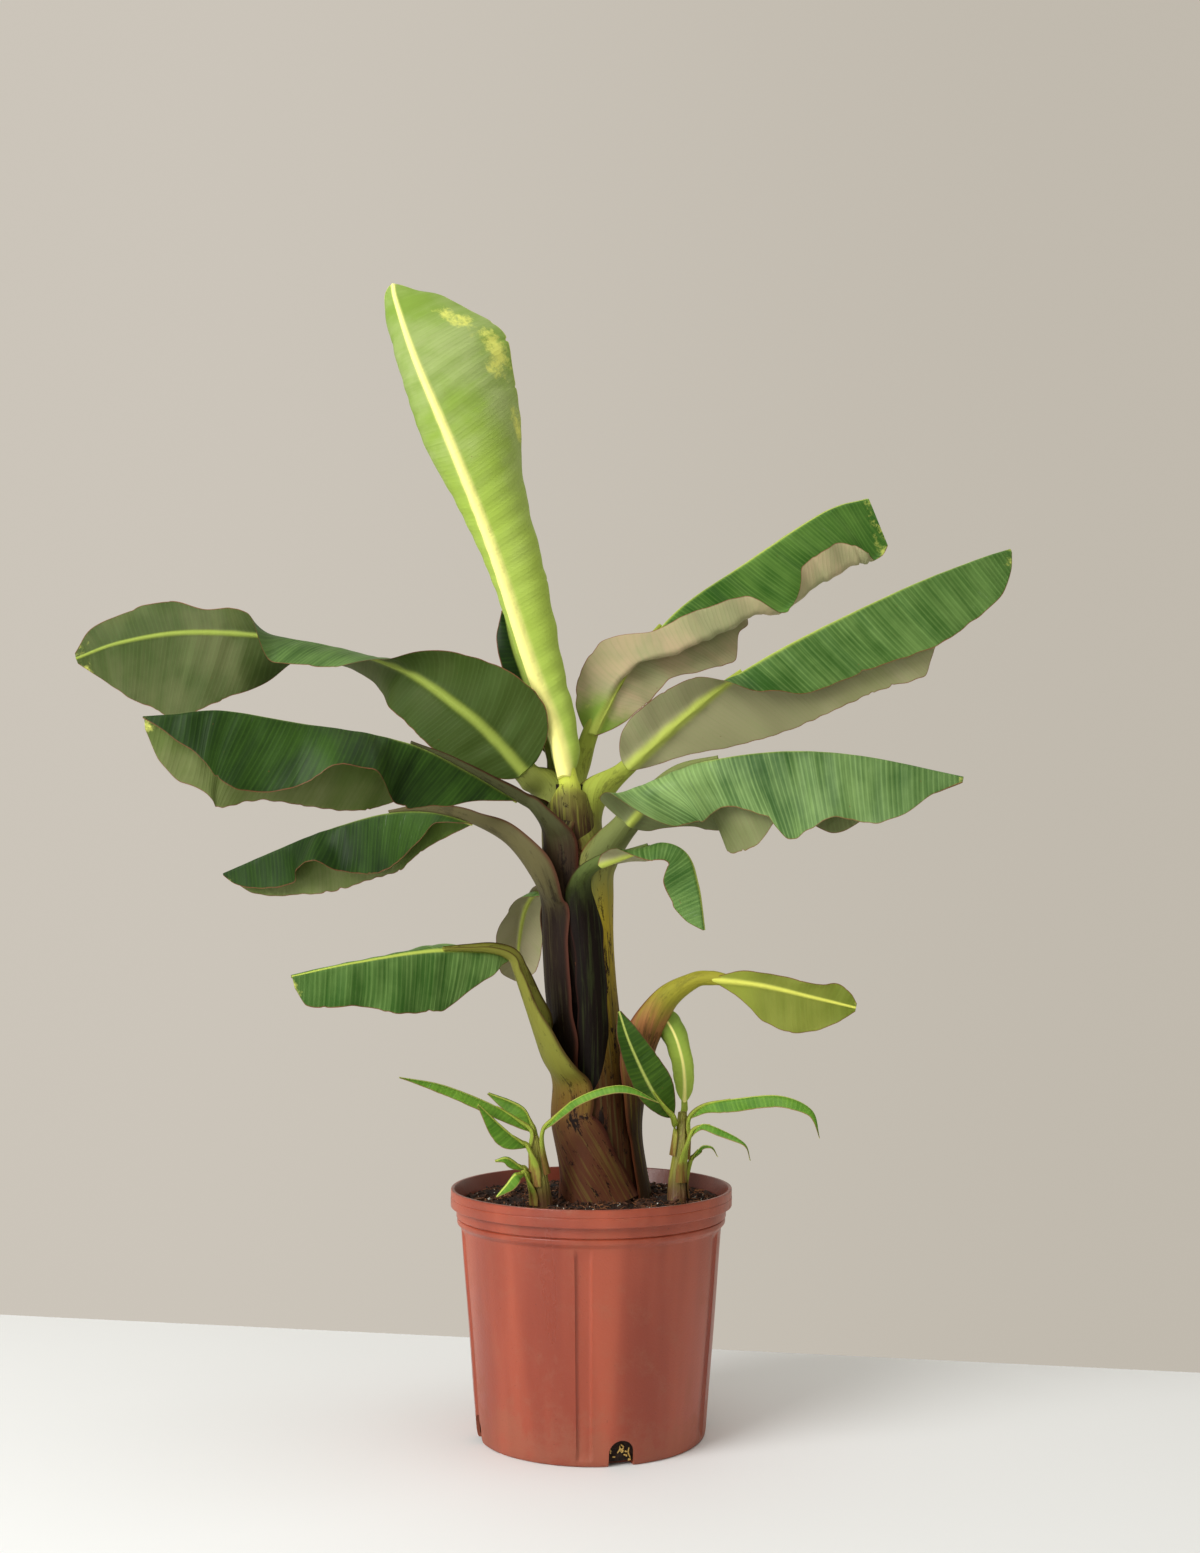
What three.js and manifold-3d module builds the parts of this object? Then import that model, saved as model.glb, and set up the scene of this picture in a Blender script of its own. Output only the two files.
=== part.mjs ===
// A potted banana plant: a fluted nursery pot, its soil, one pseudostem that carries a dozen leaves,
// and two young suckers beside it. Millimetres, +Z up, origin at the centre of the pot's base.
import * as THREE from "three";
import { mergeVertices } from "three/addons/utils/BufferGeometryUtils.js";
import Module from "manifold-3d";

const wasm = await Module();
wasm.setup();

// ---------------------------------------------------------------- driving dimensions
const GAP = 0.3; // clearance between pieces that touch

const POT_HEIGHT = 238;
const POT_TOP_RADIUS = 139.7; // outside of the lip
const POT_BASE_RADIUS = 112;
const POT_WALL = 3;
const POT_FLOOR = 3;
const LIP_HEIGHT = 17;
const LIP_STEP = 6; // how far the neck lies inside the lip
const NECK_HEIGHT = 11;
const BAND_STEP = 0.8;
const BAND_HEIGHT = 9;
const SHOULDER = 4; // how far the wall lies inside the lower band
const BASE_ROUND = 4;
const POT_SIDES = 48;

const FLUTES = 5;
const FLUTE_WIDTH = 14;
const FLUTE_DEPTH = 1.5;
const FLUTE_AZIMUTH = -93; // the flute nearest the front, degrees from +X
const DRAINS = 4;
const DRAIN_WIDTH = 24;
const DRAIN_HEIGHT = 24;
const DRAIN_AZIMUTH = -75.4;

const SOIL_DROP = 13; // rim to the soil's edge
const SOIL_MOUND = 5; // rise from the edge to the stems
const SOIL_SIDES = 40;

const BLADE_THICKNESS = 1.6;
const CREASE = 5; // width over which each half turns away from the midrib
const SHEATH_THICKNESS = 5;
const SUCKER_SHEATH = 2;
const HUG = 1.4; // sheath to stem; more than the flats of both rounds take up
const PETIOLE_THICKNESS = 5;
const RIB_TIP_RADIUS = 2.2;
const MARGIN_TIP = 1.5; // the least half width of a blade

const SOIL_LEVEL = POT_HEIGHT - SOIL_DROP + SOIL_MOUND;

const COLOURS = {
  pot: { color: 0xa34a36, roughness: 0.55, metalness: 0 },
  soil: { color: 0x2b1c14, roughness: 1, metalness: 0 },
  stem: { color: 0x3a2420, roughness: 0.6, metalness: 0 },
  leaf: { color: 0x3f7036, roughness: 0.5, metalness: 0 },
  youngLeaf: { color: 0x9ab85a, roughness: 0.5, metalness: 0 },
  sucker: { color: 0x6d9a3c, roughness: 0.5, metalness: 0 },
};

// ---------------------------------------------------------------- the plant's own sizes
// All heights below are measured up from the soil.
// Pseudostem: [height, axis x, axis y, radius], from the buried corm to the crown.
const STEM = [
  [-70, 9, 0, 14],
  [-45, 9, 0, 34],
  [-12, 9, 0, 40],
  [30, 7, 0, 35],
  [110, 2, 0, 30],
  [200, -7, 0, 27],
  [300, -14, 0, 26],
  [360, -19, 0, 24],
  [408, -23, 0, 17],
];

// Sucker stems, the same way.
const LEFT_SUCKER = [
  [-30, -46, -58, 6],
  [-8, -46, -58, 10],
  [14, -48, -60, 9],
  [40, -50, -62, 6.5],
  [66, -54, -65, 3.5],
];
const RIGHT_SUCKER = [
  [-30, 84, -22, 6],
  [-8, 84, -22, 10],
  [14, 84, -22, 8.5],
  [50, 88, -23, 7],
  [84, 90, -25, 4],
];

// A leaf grows from its stem at `azimuth`, hugs it from `hug[0]` to `hug[1]` above the soil in a
// sheath `wrap` degrees to each side, runs free through `petiole`, and carries its blade on `rib`.
// `near` and `far` are the blade's two halves. Each row is [share of the rib's length, width,
// lean at the rib, turn out to the margin, where across the half the turn lies]; angles in degrees
// about the rib, 0 towards `front` and 90 up. `side` is 1 for a leaf that runs to -X, -1 to +X.
const LEAVES = [
  {
    name: "leaf_upright", stem: "pseudostem", look: "youngLeaf",
    side: 1, azimuth: -100, hug: [370, 400], wrap: 95, layer: 0, petioleRadius: 9, soft: 0.5,
    cells: [12, 3], ribShares: [0, 0.1, 0.22], stalkSteps: 10, stalkSides: 6,
    petiole: [],
    rib: [
      [-27, -16, 414], [-39, -12, 464], [-64, -12, 532], [-102, -16, 649], [-142, -22, 752],
      [-180, -20, 843], [-201, -8, 906], [-206, 0, 928],
    ],
    near: [
      [0, 34, 80, 130, 0.5], [0.15, 55, 85, 115, 0.5], [0.35, 78, 90, 100, 0.5],
      [0.55, 90, 92, 85, 0.5], [0.7, 100, 92, 55, 0.5], [0.84, 106, 92, 35, 0.5],
      [0.93, 70, 92, 30, 0.5], [0.98, 30, 95, 20, 0.5], [1, 4, 95, 0, 0.5],
    ],
    far: [
      [0, 30, 225, -70, 0.5], [0.15, 46, 205, -60, 0.5], [0.35, 58, 205, -50, 0.5],
      [0.55, 72, 218, -65, 0.5], [0.7, 80, 232, -80, 0.5], [0.84, 64, 228, -70, 0.5],
      [0.93, 42, 228, -50, 0.5], [0.98, 18, 240, -30, 0.5], [1, 4, 260, 0, 0.5],
    ],
  },
  {
    name: "leaf_narrow", stem: "pseudostem", look: "leaf",
    side: 1, azimuth: 100, hug: [330, 392], wrap: 60, layer: 0, petioleRadius: 6, soft: 0.5,
    cells: [7, 3], ribShares: [0, 0.1, 0.22], stalkSteps: 9, stalkSides: 6,
    petiole: [[-36, 30, 424]],
    rib: [[-40, 34, 440], [-59, 40, 495], [-81, 46, 553], [-92, 50, 596]],
    near: [
      [0, 12, -60, -20, 0.5], [0.4, 20, -70, -20, 0.5], [0.8, 16, -80, -10, 0.5],
      [1, 3, -80, 0, 0.5],
    ],
    far: [
      [0, 12, 60, 20, 0.5], [0.4, 26, 80, 20, 0.5], [0.8, 18, 90, 10, 0.5], [1, 3, 90, 0, 0.5],
    ],
  },
  {
    name: "leaf_left_high", stem: "pseudostem", look: "leaf",
    side: 1, azimuth: 190, hug: [330, 380], wrap: 60, layer: 0, petioleRadius: 8, soft: 0.3,
    cells: [17, 3], ribShares: [0, 0.1, 0.22], stalkSteps: 10, stalkSides: 6,
    petiole: [[-50, -8, 400]],
    rib: [
      [-66, -20, 418], [-95, -21, 451], [-129, -20, 482], [-199, 0, 530], [-303, 35, 562],
      [-420, 60, 574], [-499, 75, 566], [-551, 85, 550],
    ],
    near: [
      [0, 52, 82, 10, 0.5], [0.1, 62, 80, 10, 0.5], [0.22, 48, 70, -10, 0.5],
      [0.32, 30, 10, -20, 0.5], [0.4, 50, -20, -25, 0.5], [0.54, 52, -30, -20, 0.5],
      [0.64, 30, 45, 0, 0.5], [0.73, 25, 92, 0, 0.5], [0.81, 38, 98, 12, 0.5],
      [0.9, 34, 98, 12, 0.5], [0.97, 20, 98, 10, 0.5], [1, 6, 98, 0, 0.5],
    ],
    far: [
      [0, 30, 262, -10, 0.5], [0.15, 50, 262, -5, 0.5], [0.28, 44, 262, -5, 0.5],
      [0.4, 36, 225, -20, 0.5], [0.55, 44, 215, -30, 0.5], [0.66, 64, 262, -5, 0.5],
      [0.8, 90, 265, 0, 0.5], [0.88, 70, 265, 0, 0.5], [0.95, 42, 262, 0, 0.5], [1, 6, 260, 0, 0.5],
    ],
  },
  {
    name: "leaf_left_mid", stem: "pseudostem", look: "leaf",
    side: 1, azimuth: 215, hug: [290, 356], wrap: 60, layer: 0, petioleRadius: 8, soft: 0.5,
    cells: [14, 3], ribShares: [0, 0.1, 0.22], stalkSteps: 10, stalkSides: 6,
    petiole: [[-57, -33, 380]],
    rib: [
      [-71, -40, 390], [-123, -75, 419], [-177, -105, 442], [-272, -140, 456], [-341, -155, 466],
      [-384, -160, 462], [-413, -160, 460],
    ],
    near: [
      [0, 8, -60, -10, 0.5], [0.1, 22, -75, -10, 0.5], [0.2, 46, -82, -10, 0.5],
      [0.3, 62, -85, -5, 0.5], [0.38, 60, -70, -5, 0.5], [0.45, 52, -35, -20, 0.5],
      [0.53, 52, -38, -20, 0.5], [0.62, 66, -72, -10, 0.5], [0.72, 74, -85, 0, 0.5],
      [0.82, 64, -85, 0, 0.5], [0.9, 36, -85, 0, 0.5], [0.96, 14, -85, 0, 0.5], [1, 4, -85, 0, 0.5],
    ],
    far: [
      [0, 8, 230, 10, 0.5], [0.2, 34, 240, 10, 0.5], [0.35, 68, 252, 8, 0.5],
      [0.5, 78, 258, 4, 0.5], [0.65, 78, 262, 0, 0.5], [0.8, 92, 265, 0, 0.5],
      [0.9, 72, 265, 0, 0.5], [0.97, 44, 265, 0, 0.5], [1, 14, 265, 0, 0.5],
    ],
  },
  {
    name: "leaf_left_low", stem: "pseudostem", look: "leaf",
    side: 1, azimuth: 200, hug: [150, 290], wrap: 60, layer: 1, petioleRadius: 8, soft: 0.5,
    cells: [12, 3], ribShares: [0, 0.1, 0.22], stalkSteps: 10, stalkSides: 6,
    petiole: [[-60, -30, 320], [-84, -28, 350]],
    rib: [[-118, -10, 370], [-165, 20, 383], [-225, 55, 381], [-311, 95, 356], [-398, 125, 322]],
    near: [
      [0, 10, -60, -10, 0.5], [0.13, 14, -75, -5, 0.5], [0.2, 34, -82, -5, 0.5],
      [0.3, 54, -85, -5, 0.5], [0.42, 62, -85, -5, 0.5], [0.55, 52, -70, -5, 0.5],
      [0.62, 42, -40, -10, 0.5], [0.7, 40, -55, -5, 0.5], [0.78, 42, -85, 0, 0.5],
      [0.9, 32, -85, 0, 0.5], [0.97, 18, -85, 0, 0.5], [1, 5, -85, 0, 0.5],
    ],
    far: [
      [0, 10, 235, 10, 0.5], [0.2, 40, 250, 8, 0.5], [0.4, 66, 262, 0, 0.5], [0.6, 66, 264, 0, 0.5],
      [0.8, 54, 264, 0, 0.5], [0.93, 36, 264, 0, 0.5], [1, 6, 264, 0, 0.5],
    ],
  },
  {
    name: "leaf_left_small", stem: "pseudostem", look: "leaf",
    side: 1, azimuth: 210, hug: [4, 110], wrap: 60, layer: 1, petioleRadius: 7, soft: 0.5,
    cells: [9, 3], ribShares: [0, 0.1, 0.22], stalkSteps: 10, stalkSides: 6,
    petiole: [[-47, -36, 140], [-62, -56, 190], [-72, -68, 222]],
    rib: [
      [-78, -76, 236], [-96, -90, 243], [-150, -125, 244], [-220, -160, 233], [-270, -175, 222],
    ],
    near: [
      [0, 12, -50, -10, 0.5], [0.2, 36, -70, -10, 0.5], [0.4, 58, -75, -10, 0.5],
      [0.6, 56, -72, -10, 0.5], [0.75, 42, -72, -10, 0.5], [0.9, 36, -80, 0, 0.5],
      [0.97, 30, -80, 0, 0.5], [1, 12, -80, 0, 0.5],
    ],
    far: [
      [0, 12, 190, 20, 0.5], [0.3, 50, 165, 40, 0.5], [0.6, 52, 180, 40, 0.5],
      [0.9, 30, 190, 30, 0.5], [1, 10, 190, 20, 0.5],
    ],
  },
  {
    name: "leaf_back", stem: "pseudostem", look: "leaf",
    side: 1, azimuth: 125, hug: [150, 250], wrap: 60, layer: 1, petioleRadius: 6, soft: 0.5,
    cells: [8, 3], ribShares: [0, 0.1, 0.22], stalkSteps: 10, stalkSides: 6,
    front: [-1, 0, 0],
    petiole: [[-42, 46, 278]],
    rib: [[-45, 55, 298], [-58, 78, 302], [-72, 110, 282], [-80, 140, 240], [-80, 150, 205]],
    near: [
      [0, 8, -20, -20, 0.5], [0.3, 30, -30, -20, 0.5], [0.6, 34, -40, -10, 0.5],
      [0.9, 26, -40, -10, 0.5], [1, 4, -40, 0, 0.5],
    ],
    far: [
      [0, 8, 200, 20, 0.5], [0.3, 30, 215, 20, 0.5], [0.6, 34, 220, 10, 0.5],
      [0.9, 26, 220, 0, 0.5], [1, 4, 220, 0, 0.5],
    ],
  },
  {
    name: "leaf_right_high", stem: "pseudostem", look: "leaf",
    side: -1, azimuth: 50, hug: [330, 388], wrap: 60, layer: 0, petioleRadius: 8, soft: 0.1,
    cells: [16, 5], ribShares: [0, 0.1, 0.22], stalkSteps: 10, stalkSides: 6,
    petiole: [[-8, 19, 420]],
    rib: [
      [0, 26, 460], [15, 38, 492], [34, 55, 530], [89, 85, 601], [166, 120, 660], [258, 150, 724],
      [309, 165, 743],
    ],
    near: [
      [0, 18, 40, 80, 0.2], [0.1, 42, 0, 110, 0.15], [0.2, 58, -60, 160, 0.2],
      [0.3, 78, -85, 180, 0.5], [0.45, 92, -88, 180, 0.62], [0.55, 84, -88, 170, 0.7],
      [0.62, 78, -88, 90, 0.93], [0.72, 100, -88, 165, 0.7], [0.82, 108, -88, 165, 0.68],
      [0.92, 88, -88, 150, 0.85], [0.98, 72, -88, 60, 0.95], [1, 60, -88, 0, 0.95],
    ],
    far: [
      [0, 8, 262, 0, 0.5], [0.08, 26, 262, 0, 0.5], [0.16, 40, 262, 0, 0.5],
      [0.24, 44, 262, 0, 0.5], [0.34, 70, 262, 0, 0.5], [0.45, 84, 262, 0, 0.5],
      [0.52, 62, 262, 0, 0.5], [0.6, 60, 235, 0, 0.5], [0.8, 60, 220, 0, 0.5],
      [0.95, 50, 220, 0, 0.5], [1, 40, 220, 0, 0.5],
    ],
  },
  {
    name: "leaf_right_top", stem: "pseudostem", look: "leaf",
    side: -1, azimuth: -10, hug: [320, 376], wrap: 60, layer: 0, petioleRadius: 8, soft: 0.5,
    cells: [14, 3], ribShares: [0, 0.1, 0.22], stalkSteps: 10, stalkSides: 6,
    petiole: [[14, -8, 402]],
    rib: [
      [36, -5, 424], [91, -25, 473], [140, -40, 512], [199, -50, 547], [308, -55, 599],
      [382, -50, 629], [417, -45, 641],
    ],
    near: [
      [0, 26, 70, 0, 0.5], [0.12, 38, 65, 0, 0.5], [0.25, 34, 40, 0, 0.5], [0.3, 30, 0, 0, 0.5],
      [0.36, 36, -60, -10, 0.5], [0.45, 56, -85, -5, 0.5], [0.6, 62, -85, -5, 0.5],
      [0.75, 68, -85, -5, 0.5], [0.86, 58, -85, -5, 0.5], [0.94, 44, -85, 0, 0.5],
      [0.985, 22, -85, 0, 0.5], [1, 6, -85, 0, 0.5],
    ],
    far: [
      [0, 8, 258, 5, 0.5], [0.1, 26, 260, 5, 0.5], [0.25, 62, 262, 0, 0.5], [0.4, 80, 262, 0, 0.5],
      [0.6, 84, 264, 0, 0.5], [0.7, 90, 264, 0, 0.5], [0.76, 68, 264, 0, 0.5],
      [0.85, 50, 258, 0, 0.5], [0.95, 34, 250, 0, 0.5], [1, 6, 250, 0, 0.5],
    ],
  },
  {
    name: "leaf_right_mid", stem: "pseudostem", look: "leaf",
    side: -1, azimuth: -35, hug: [4, 290], wrap: 60, layer: 0, petioleRadius: 8, soft: 0.3,
    cells: [16, 4], ribShares: [0, 0.1, 0.22], stalkSteps: 13, stalkSides: 6,
    petiole: [[11, -30, 318], [20, -46, 342]],
    rib: [
      [36, -62, 364], [70, -85, 402], [103, -105, 422], [177, -140, 430], [250, -165, 423],
      [337, -190, 402],
    ],
    near: [
      [0, 36, 75, 0, 0.4], [0.07, 54, 78, -60, 0.4], [0.14, 80, 60, -150, 0.3],
      [0.24, 70, -10, -80, 0.3], [0.34, 50, -75, -20, 0.4], [0.46, 62, -80, -10, 0.5],
      [0.56, 86, -85, -5, 0.5], [0.63, 76, -80, -5, 0.5], [0.7, 64, -75, -5, 0.5],
      [0.8, 64, -80, 0, 0.5], [0.88, 50, -80, 0, 0.5], [0.94, 24, -80, 0, 0.5], [1, 8, -80, 0, 0.5],
    ],
    far: [
      [0, 14, 255, 0, 0.5], [0.12, 48, 262, 0, 0.5], [0.22, 80, 264, 0, 0.5],
      [0.32, 94, 264, 0, 0.5], [0.42, 88, 264, 0, 0.5], [0.5, 66, 262, 0, 0.5],
      [0.6, 70, 262, 0, 0.5], [0.68, 76, 262, 0, 0.5], [0.8, 50, 255, 0, 0.5],
      [0.95, 20, 250, 0, 0.5], [1, 8, 250, 0, 0.5],
    ],
  },
  {
    name: "leaf_curled", stem: "pseudostem", look: "leaf",
    side: -1, azimuth: -75, hug: [190, 300], wrap: 24, layer: 1, petioleRadius: 6, soft: 0.5,
    cells: [12, 3], ribShares: [0, 0.1, 0.22], stalkSteps: 10, stalkSides: 6,
    petiole: [[-3, -47, 316]],
    rib: [
      [9, -60, 326], [39, -85, 336], [69, -105, 346], [92, -115, 334], [102, -118, 302],
      [107, -118, 263],
    ],
    near: [
      [0, 12, 60, 0, 0.5], [0.2, 22, 35, -20, 0.5], [0.4, 28, -20, -40, 0.5],
      [0.55, 22, -60, -20, 0.5], [0.7, 34, -100, -20, 0.5], [0.85, 32, -120, 0, 0.5],
      [0.94, 20, -120, 0, 0.5], [1, 3, -120, 0, 0.5],
    ],
    far: [
      [0, 12, 190, 0, 0.5], [0.25, 24, 205, 20, 0.5], [0.5, 38, 225, 20, 0.5],
      [0.75, 28, 240, 20, 0.5], [0.92, 18, 250, 10, 0.5], [1, 3, 250, 0, 0.5],
    ],
  },
  {
    name: "leaf_right_small", stem: "pseudostem", look: "leaf",
    side: -1, azimuth: -5, hug: [2, 60], wrap: 60, layer: 1, petioleRadius: 6, soft: 0.5,
    cells: [10, 3], ribShares: [0, 0.1, 0.22], stalkSteps: 10, stalkSides: 6,
    petiole: [[50, -18, 95], [58, -30, 150], [75, -42, 191], [100, -56, 212]],
    rib: [[117, -62, 215], [163, -80, 210], [212, -95, 199], [250, -105, 190]],
    near: [
      [0, 8, 70, 0, 0.5], [0.25, 14, 68, 0, 0.5], [0.5, 13, 68, 0, 0.5], [0.75, 15, 70, 0, 0.5],
      [0.85, 18, 80, 0, 0.5], [0.95, 12, 80, 0, 0.5], [1, 4, 80, 0, 0.5],
    ],
    far: [
      [0, 8, 262, 0, 0.5], [0.2, 18, 262, 0, 0.5], [0.4, 34, 264, 0, 0.5], [0.6, 38, 264, 0, 0.5],
      [0.75, 32, 264, 0, 0.5], [0.9, 18, 264, 0, 0.5], [1, 4, 264, 0, 0.5],
    ],
  },
  {
    name: "left_sucker_leaf_1", stem: "left_sucker_stem", look: "sucker",
    side: 1, azimuth: 192, hug: [32, 55], wrap: 35, layer: 0, petioleRadius: 2.6, soft: 0.5,
    cells: [5, 1], ribShares: [0, 0.12], stalkSteps: 3, stalkSides: 2,
    petiole: [],
    rib: [[-58, -68, 70], [-87, -78, 93], [-138, -95, 116], [-180, -105, 125]],
    near: [
      [0, 4, -60, 0, 0.5], [0.3, 12, -70, 0, 0.5], [0.7, 10, -70, 0, 0.5], [1, 2, -70, 0, 0.5],
    ],
    far: [[0, 4, 230, 0, 0.5], [0.3, 10, 230, 0, 0.5], [0.7, 9, 230, 0, 0.5], [1, 2, 230, 0, 0.5]],
  },
  {
    name: "left_sucker_leaf_2", stem: "left_sucker_stem", look: "sucker",
    side: 1, azimuth: 105, hug: [26, 52], wrap: 35, layer: 0, petioleRadius: 2.6, soft: 0.5,
    cells: [5, 1], ribShares: [0, 0.12], stalkSteps: 3, stalkSides: 2,
    petiole: [],
    rib: [[-56, -58, 70], [-67, -46, 90], [-101, -34, 103]],
    near: [[0, 4, -60, 0, 0.5], [0.4, 15, -80, 0, 0.5], [1, 2, -80, 0, 0.5]],
    far: [[0, 4, 210, 0, 0.5], [0.4, 10, 200, 0, 0.5], [1, 2, 200, 0, 0.5]],
  },
  {
    name: "left_sucker_leaf_3", stem: "left_sucker_stem", look: "sucker",
    side: 1, azimuth: 240, hug: [18, 36], wrap: 35, layer: 0, petioleRadius: 2.6, soft: 0.5,
    cells: [5, 1], ribShares: [0, 0.12], stalkSteps: 3, stalkSides: 2,
    petiole: [],
    rib: [[-61, -76, 56], [-83, -90, 76], [-106, -100, 99]],
    near: [[0, 4, -60, 0, 0.5], [0.4, 16, -80, 0, 0.5], [1, 3, -80, 0, 0.5]],
    far: [[0, 4, 220, 0, 0.5], [0.4, 10, 220, 0, 0.5], [1, 3, 220, 0, 0.5]],
  },
  {
    name: "left_sucker_leaf_4", stem: "left_sucker_stem", look: "sucker",
    side: -1, azimuth: -30, hug: [30, 54], wrap: 35, layer: 0, petioleRadius: 2.6, soft: 0.5,
    cells: [5, 1], ribShares: [0, 0.12], stalkSteps: 3, stalkSides: 2,
    petiole: [],
    rib: [[-45, -70, 72], [-15, -80, 102], [29, -92, 116], [64, -100, 101]],
    near: [[0, 4, -60, 0, 0.5], [0.3, 9, -70, 0, 0.5], [0.7, 9, -70, 0, 0.5], [1, 2, -70, 0, 0.5]],
    far: [[0, 4, 240, 0, 0.5], [0.3, 8, 240, 0, 0.5], [0.7, 8, 240, 0, 0.5], [1, 2, 240, 0, 0.5]],
  },
  {
    name: "left_sucker_leaf_5", stem: "left_sucker_stem", look: "sucker",
    side: 1, azimuth: 215, hug: [0, 12], wrap: 35, layer: 0, petioleRadius: 2.6, soft: 0.5,
    cells: [5, 1], ribShares: [0, 0.12], stalkSteps: 3, stalkSides: 2,
    petiole: [],
    rib: [[-63, -72, 30], [-72, -80, 31], [-80, -86, 22], [-89, -90, 12]],
    near: [[0, 4, -60, 0, 0.5], [0.5, 10, -75, 0, 0.5], [1, 2, -75, 0, 0.5]],
    far: [[0, 4, 200, 0, 0.5], [0.5, 8, 200, 0, 0.5], [1, 2, 200, 0, 0.5]],
  },
  {
    name: "left_sucker_leaf_6", stem: "left_sucker_stem", look: "sucker",
    side: 1, azimuth: 165, hug: [0, 14], wrap: 35, layer: 0, petioleRadius: 2.6, soft: 0.5,
    cells: [5, 1], ribShares: [0, 0.12], stalkSteps: 3, stalkSides: 2,
    petiole: [],
    rib: [[-64, -58, 32], [-80, -64, 44], [-92, -66, 42]],
    near: [[0, 4, -60, 0, 0.5], [0.5, 8, -75, 0, 0.5], [1, 2, -75, 0, 0.5]],
    far: [[0, 4, 200, 0, 0.5], [0.5, 6, 200, 0, 0.5], [1, 2, 200, 0, 0.5]],
  },
  {
    name: "right_sucker_leaf_1", stem: "right_sucker_stem", look: "sucker",
    side: 1, azimuth: 205, hug: [42, 66], wrap: 35, layer: 0, petioleRadius: 2.6, soft: 0.5,
    cells: [7, 3], ribShares: [0, 0.12], stalkSteps: 3, stalkSides: 2,
    petiole: [],
    rib: [[80, -36, 80], [59, -52, 108], [38, -62, 152], [27, -62, 184]],
    near: [
      [0, 6, -60, 0, 0.5], [0.35, 15, -80, 0, 0.5], [0.8, 10, -80, 0, 0.5], [1, 2, -80, 0, 0.5],
    ],
    far: [[0, 5, 60, 0, 0.5], [0.35, 23, 75, 0, 0.5], [0.8, 13, 80, 0, 0.5], [1, 2, 80, 0, 0.5]],
  },
  {
    name: "right_sucker_leaf_2", stem: "right_sucker_stem", look: "sucker",
    side: 1, azimuth: 60, hug: [54, 76], wrap: 35, layer: 0, petioleRadius: 2.6, soft: 0.5,
    cells: [7, 3], ribShares: [0, 0.12], stalkSteps: 3, stalkSides: 2,
    petiole: [],
    rib: [[92, -20, 92], [92, -24, 115], [89, -27, 138], [80, -28, 164], [63, -24, 188]],
    near: [
      [0, 6, 80, 60, 0.5], [0.35, 20, 85, 120, 0.5], [0.7, 19, 85, 90, 0.5], [1, 2, 85, 0, 0.5],
    ],
    far: [
      [0, 6, 280, -60, 0.5], [0.35, 21, 275, -120, 0.5], [0.7, 20, 275, -90, 0.5],
      [1, 2, 275, 0, 0.5],
    ],
  },
  {
    name: "right_sucker_leaf_3", stem: "right_sucker_stem", look: "sucker",
    side: -1, azimuth: -15, hug: [38, 60], wrap: 35, layer: 0, petioleRadius: 2.6, soft: 0.5,
    cells: [8, 1], ribShares: [0, 0.12], stalkSteps: 3, stalkSides: 2,
    petiole: [],
    rib: [
      [97, -30, 78], [112, -38, 92], [139, -50, 99], [181, -70, 104], [210, -82, 92],
      [217, -86, 66],
    ],
    near: [
      [0, 4, -60, 0, 0.5], [0.3, 14, -75, 0, 0.5], [0.7, 12, -75, 0, 0.5], [1, 2, -75, 0, 0.5],
    ],
    far: [
      [0, 4, 240, 0, 0.5], [0.3, 12, 240, 0, 0.5], [0.7, 10, 240, 0, 0.5], [1, 2, 240, 0, 0.5],
    ],
  },
  {
    name: "right_sucker_leaf_4", stem: "right_sucker_stem", look: "sucker",
    side: -1, azimuth: -65, hug: [16, 34], wrap: 35, layer: 0, petioleRadius: 2.6, soft: 0.5,
    cells: [5, 1], ribShares: [0, 0.12], stalkSteps: 3, stalkSides: 2,
    petiole: [],
    rib: [[97, -42, 62], [108, -44, 74], [126, -55, 70], [147, -70, 59], [152, -76, 44]],
    near: [[0, 4, -60, 0, 0.5], [0.4, 9, -70, 0, 0.5], [1, 2, -70, 0, 0.5]],
    far: [[0, 4, 240, 0, 0.5], [0.4, 8, 240, 0, 0.5], [1, 2, 240, 0, 0.5]],
  },
  {
    name: "right_sucker_leaf_5", stem: "right_sucker_stem", look: "sucker",
    side: -1, azimuth: 20, hug: [0, 14], wrap: 35, layer: 0, petioleRadius: 2.6, soft: 0.5,
    cells: [5, 1], ribShares: [0, 0.12], stalkSteps: 3, stalkSides: 2,
    petiole: [],
    rib: [[99, -20, 36], [108, -26, 50], [118, -36, 51], [123, -42, 43]],
    near: [[0, 3, -60, 0, 0.5], [0.4, 6, -70, 0, 0.5], [1, 2, -70, 0, 0.5]],
    far: [[0, 3, 240, 0, 0.5], [0.4, 5, 240, 0, 0.5], [1, 2, 240, 0, 0.5]],
  },
];

// ---------------------------------------------------------------- numbers along a curve
function clamp(x, low, high) {
  return Math.min(Math.max(x, low), high);
}

function smooth(x) {
  const t = clamp(x, 0, 1);
  return t * t * (3 - 2 * t);
}

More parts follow.
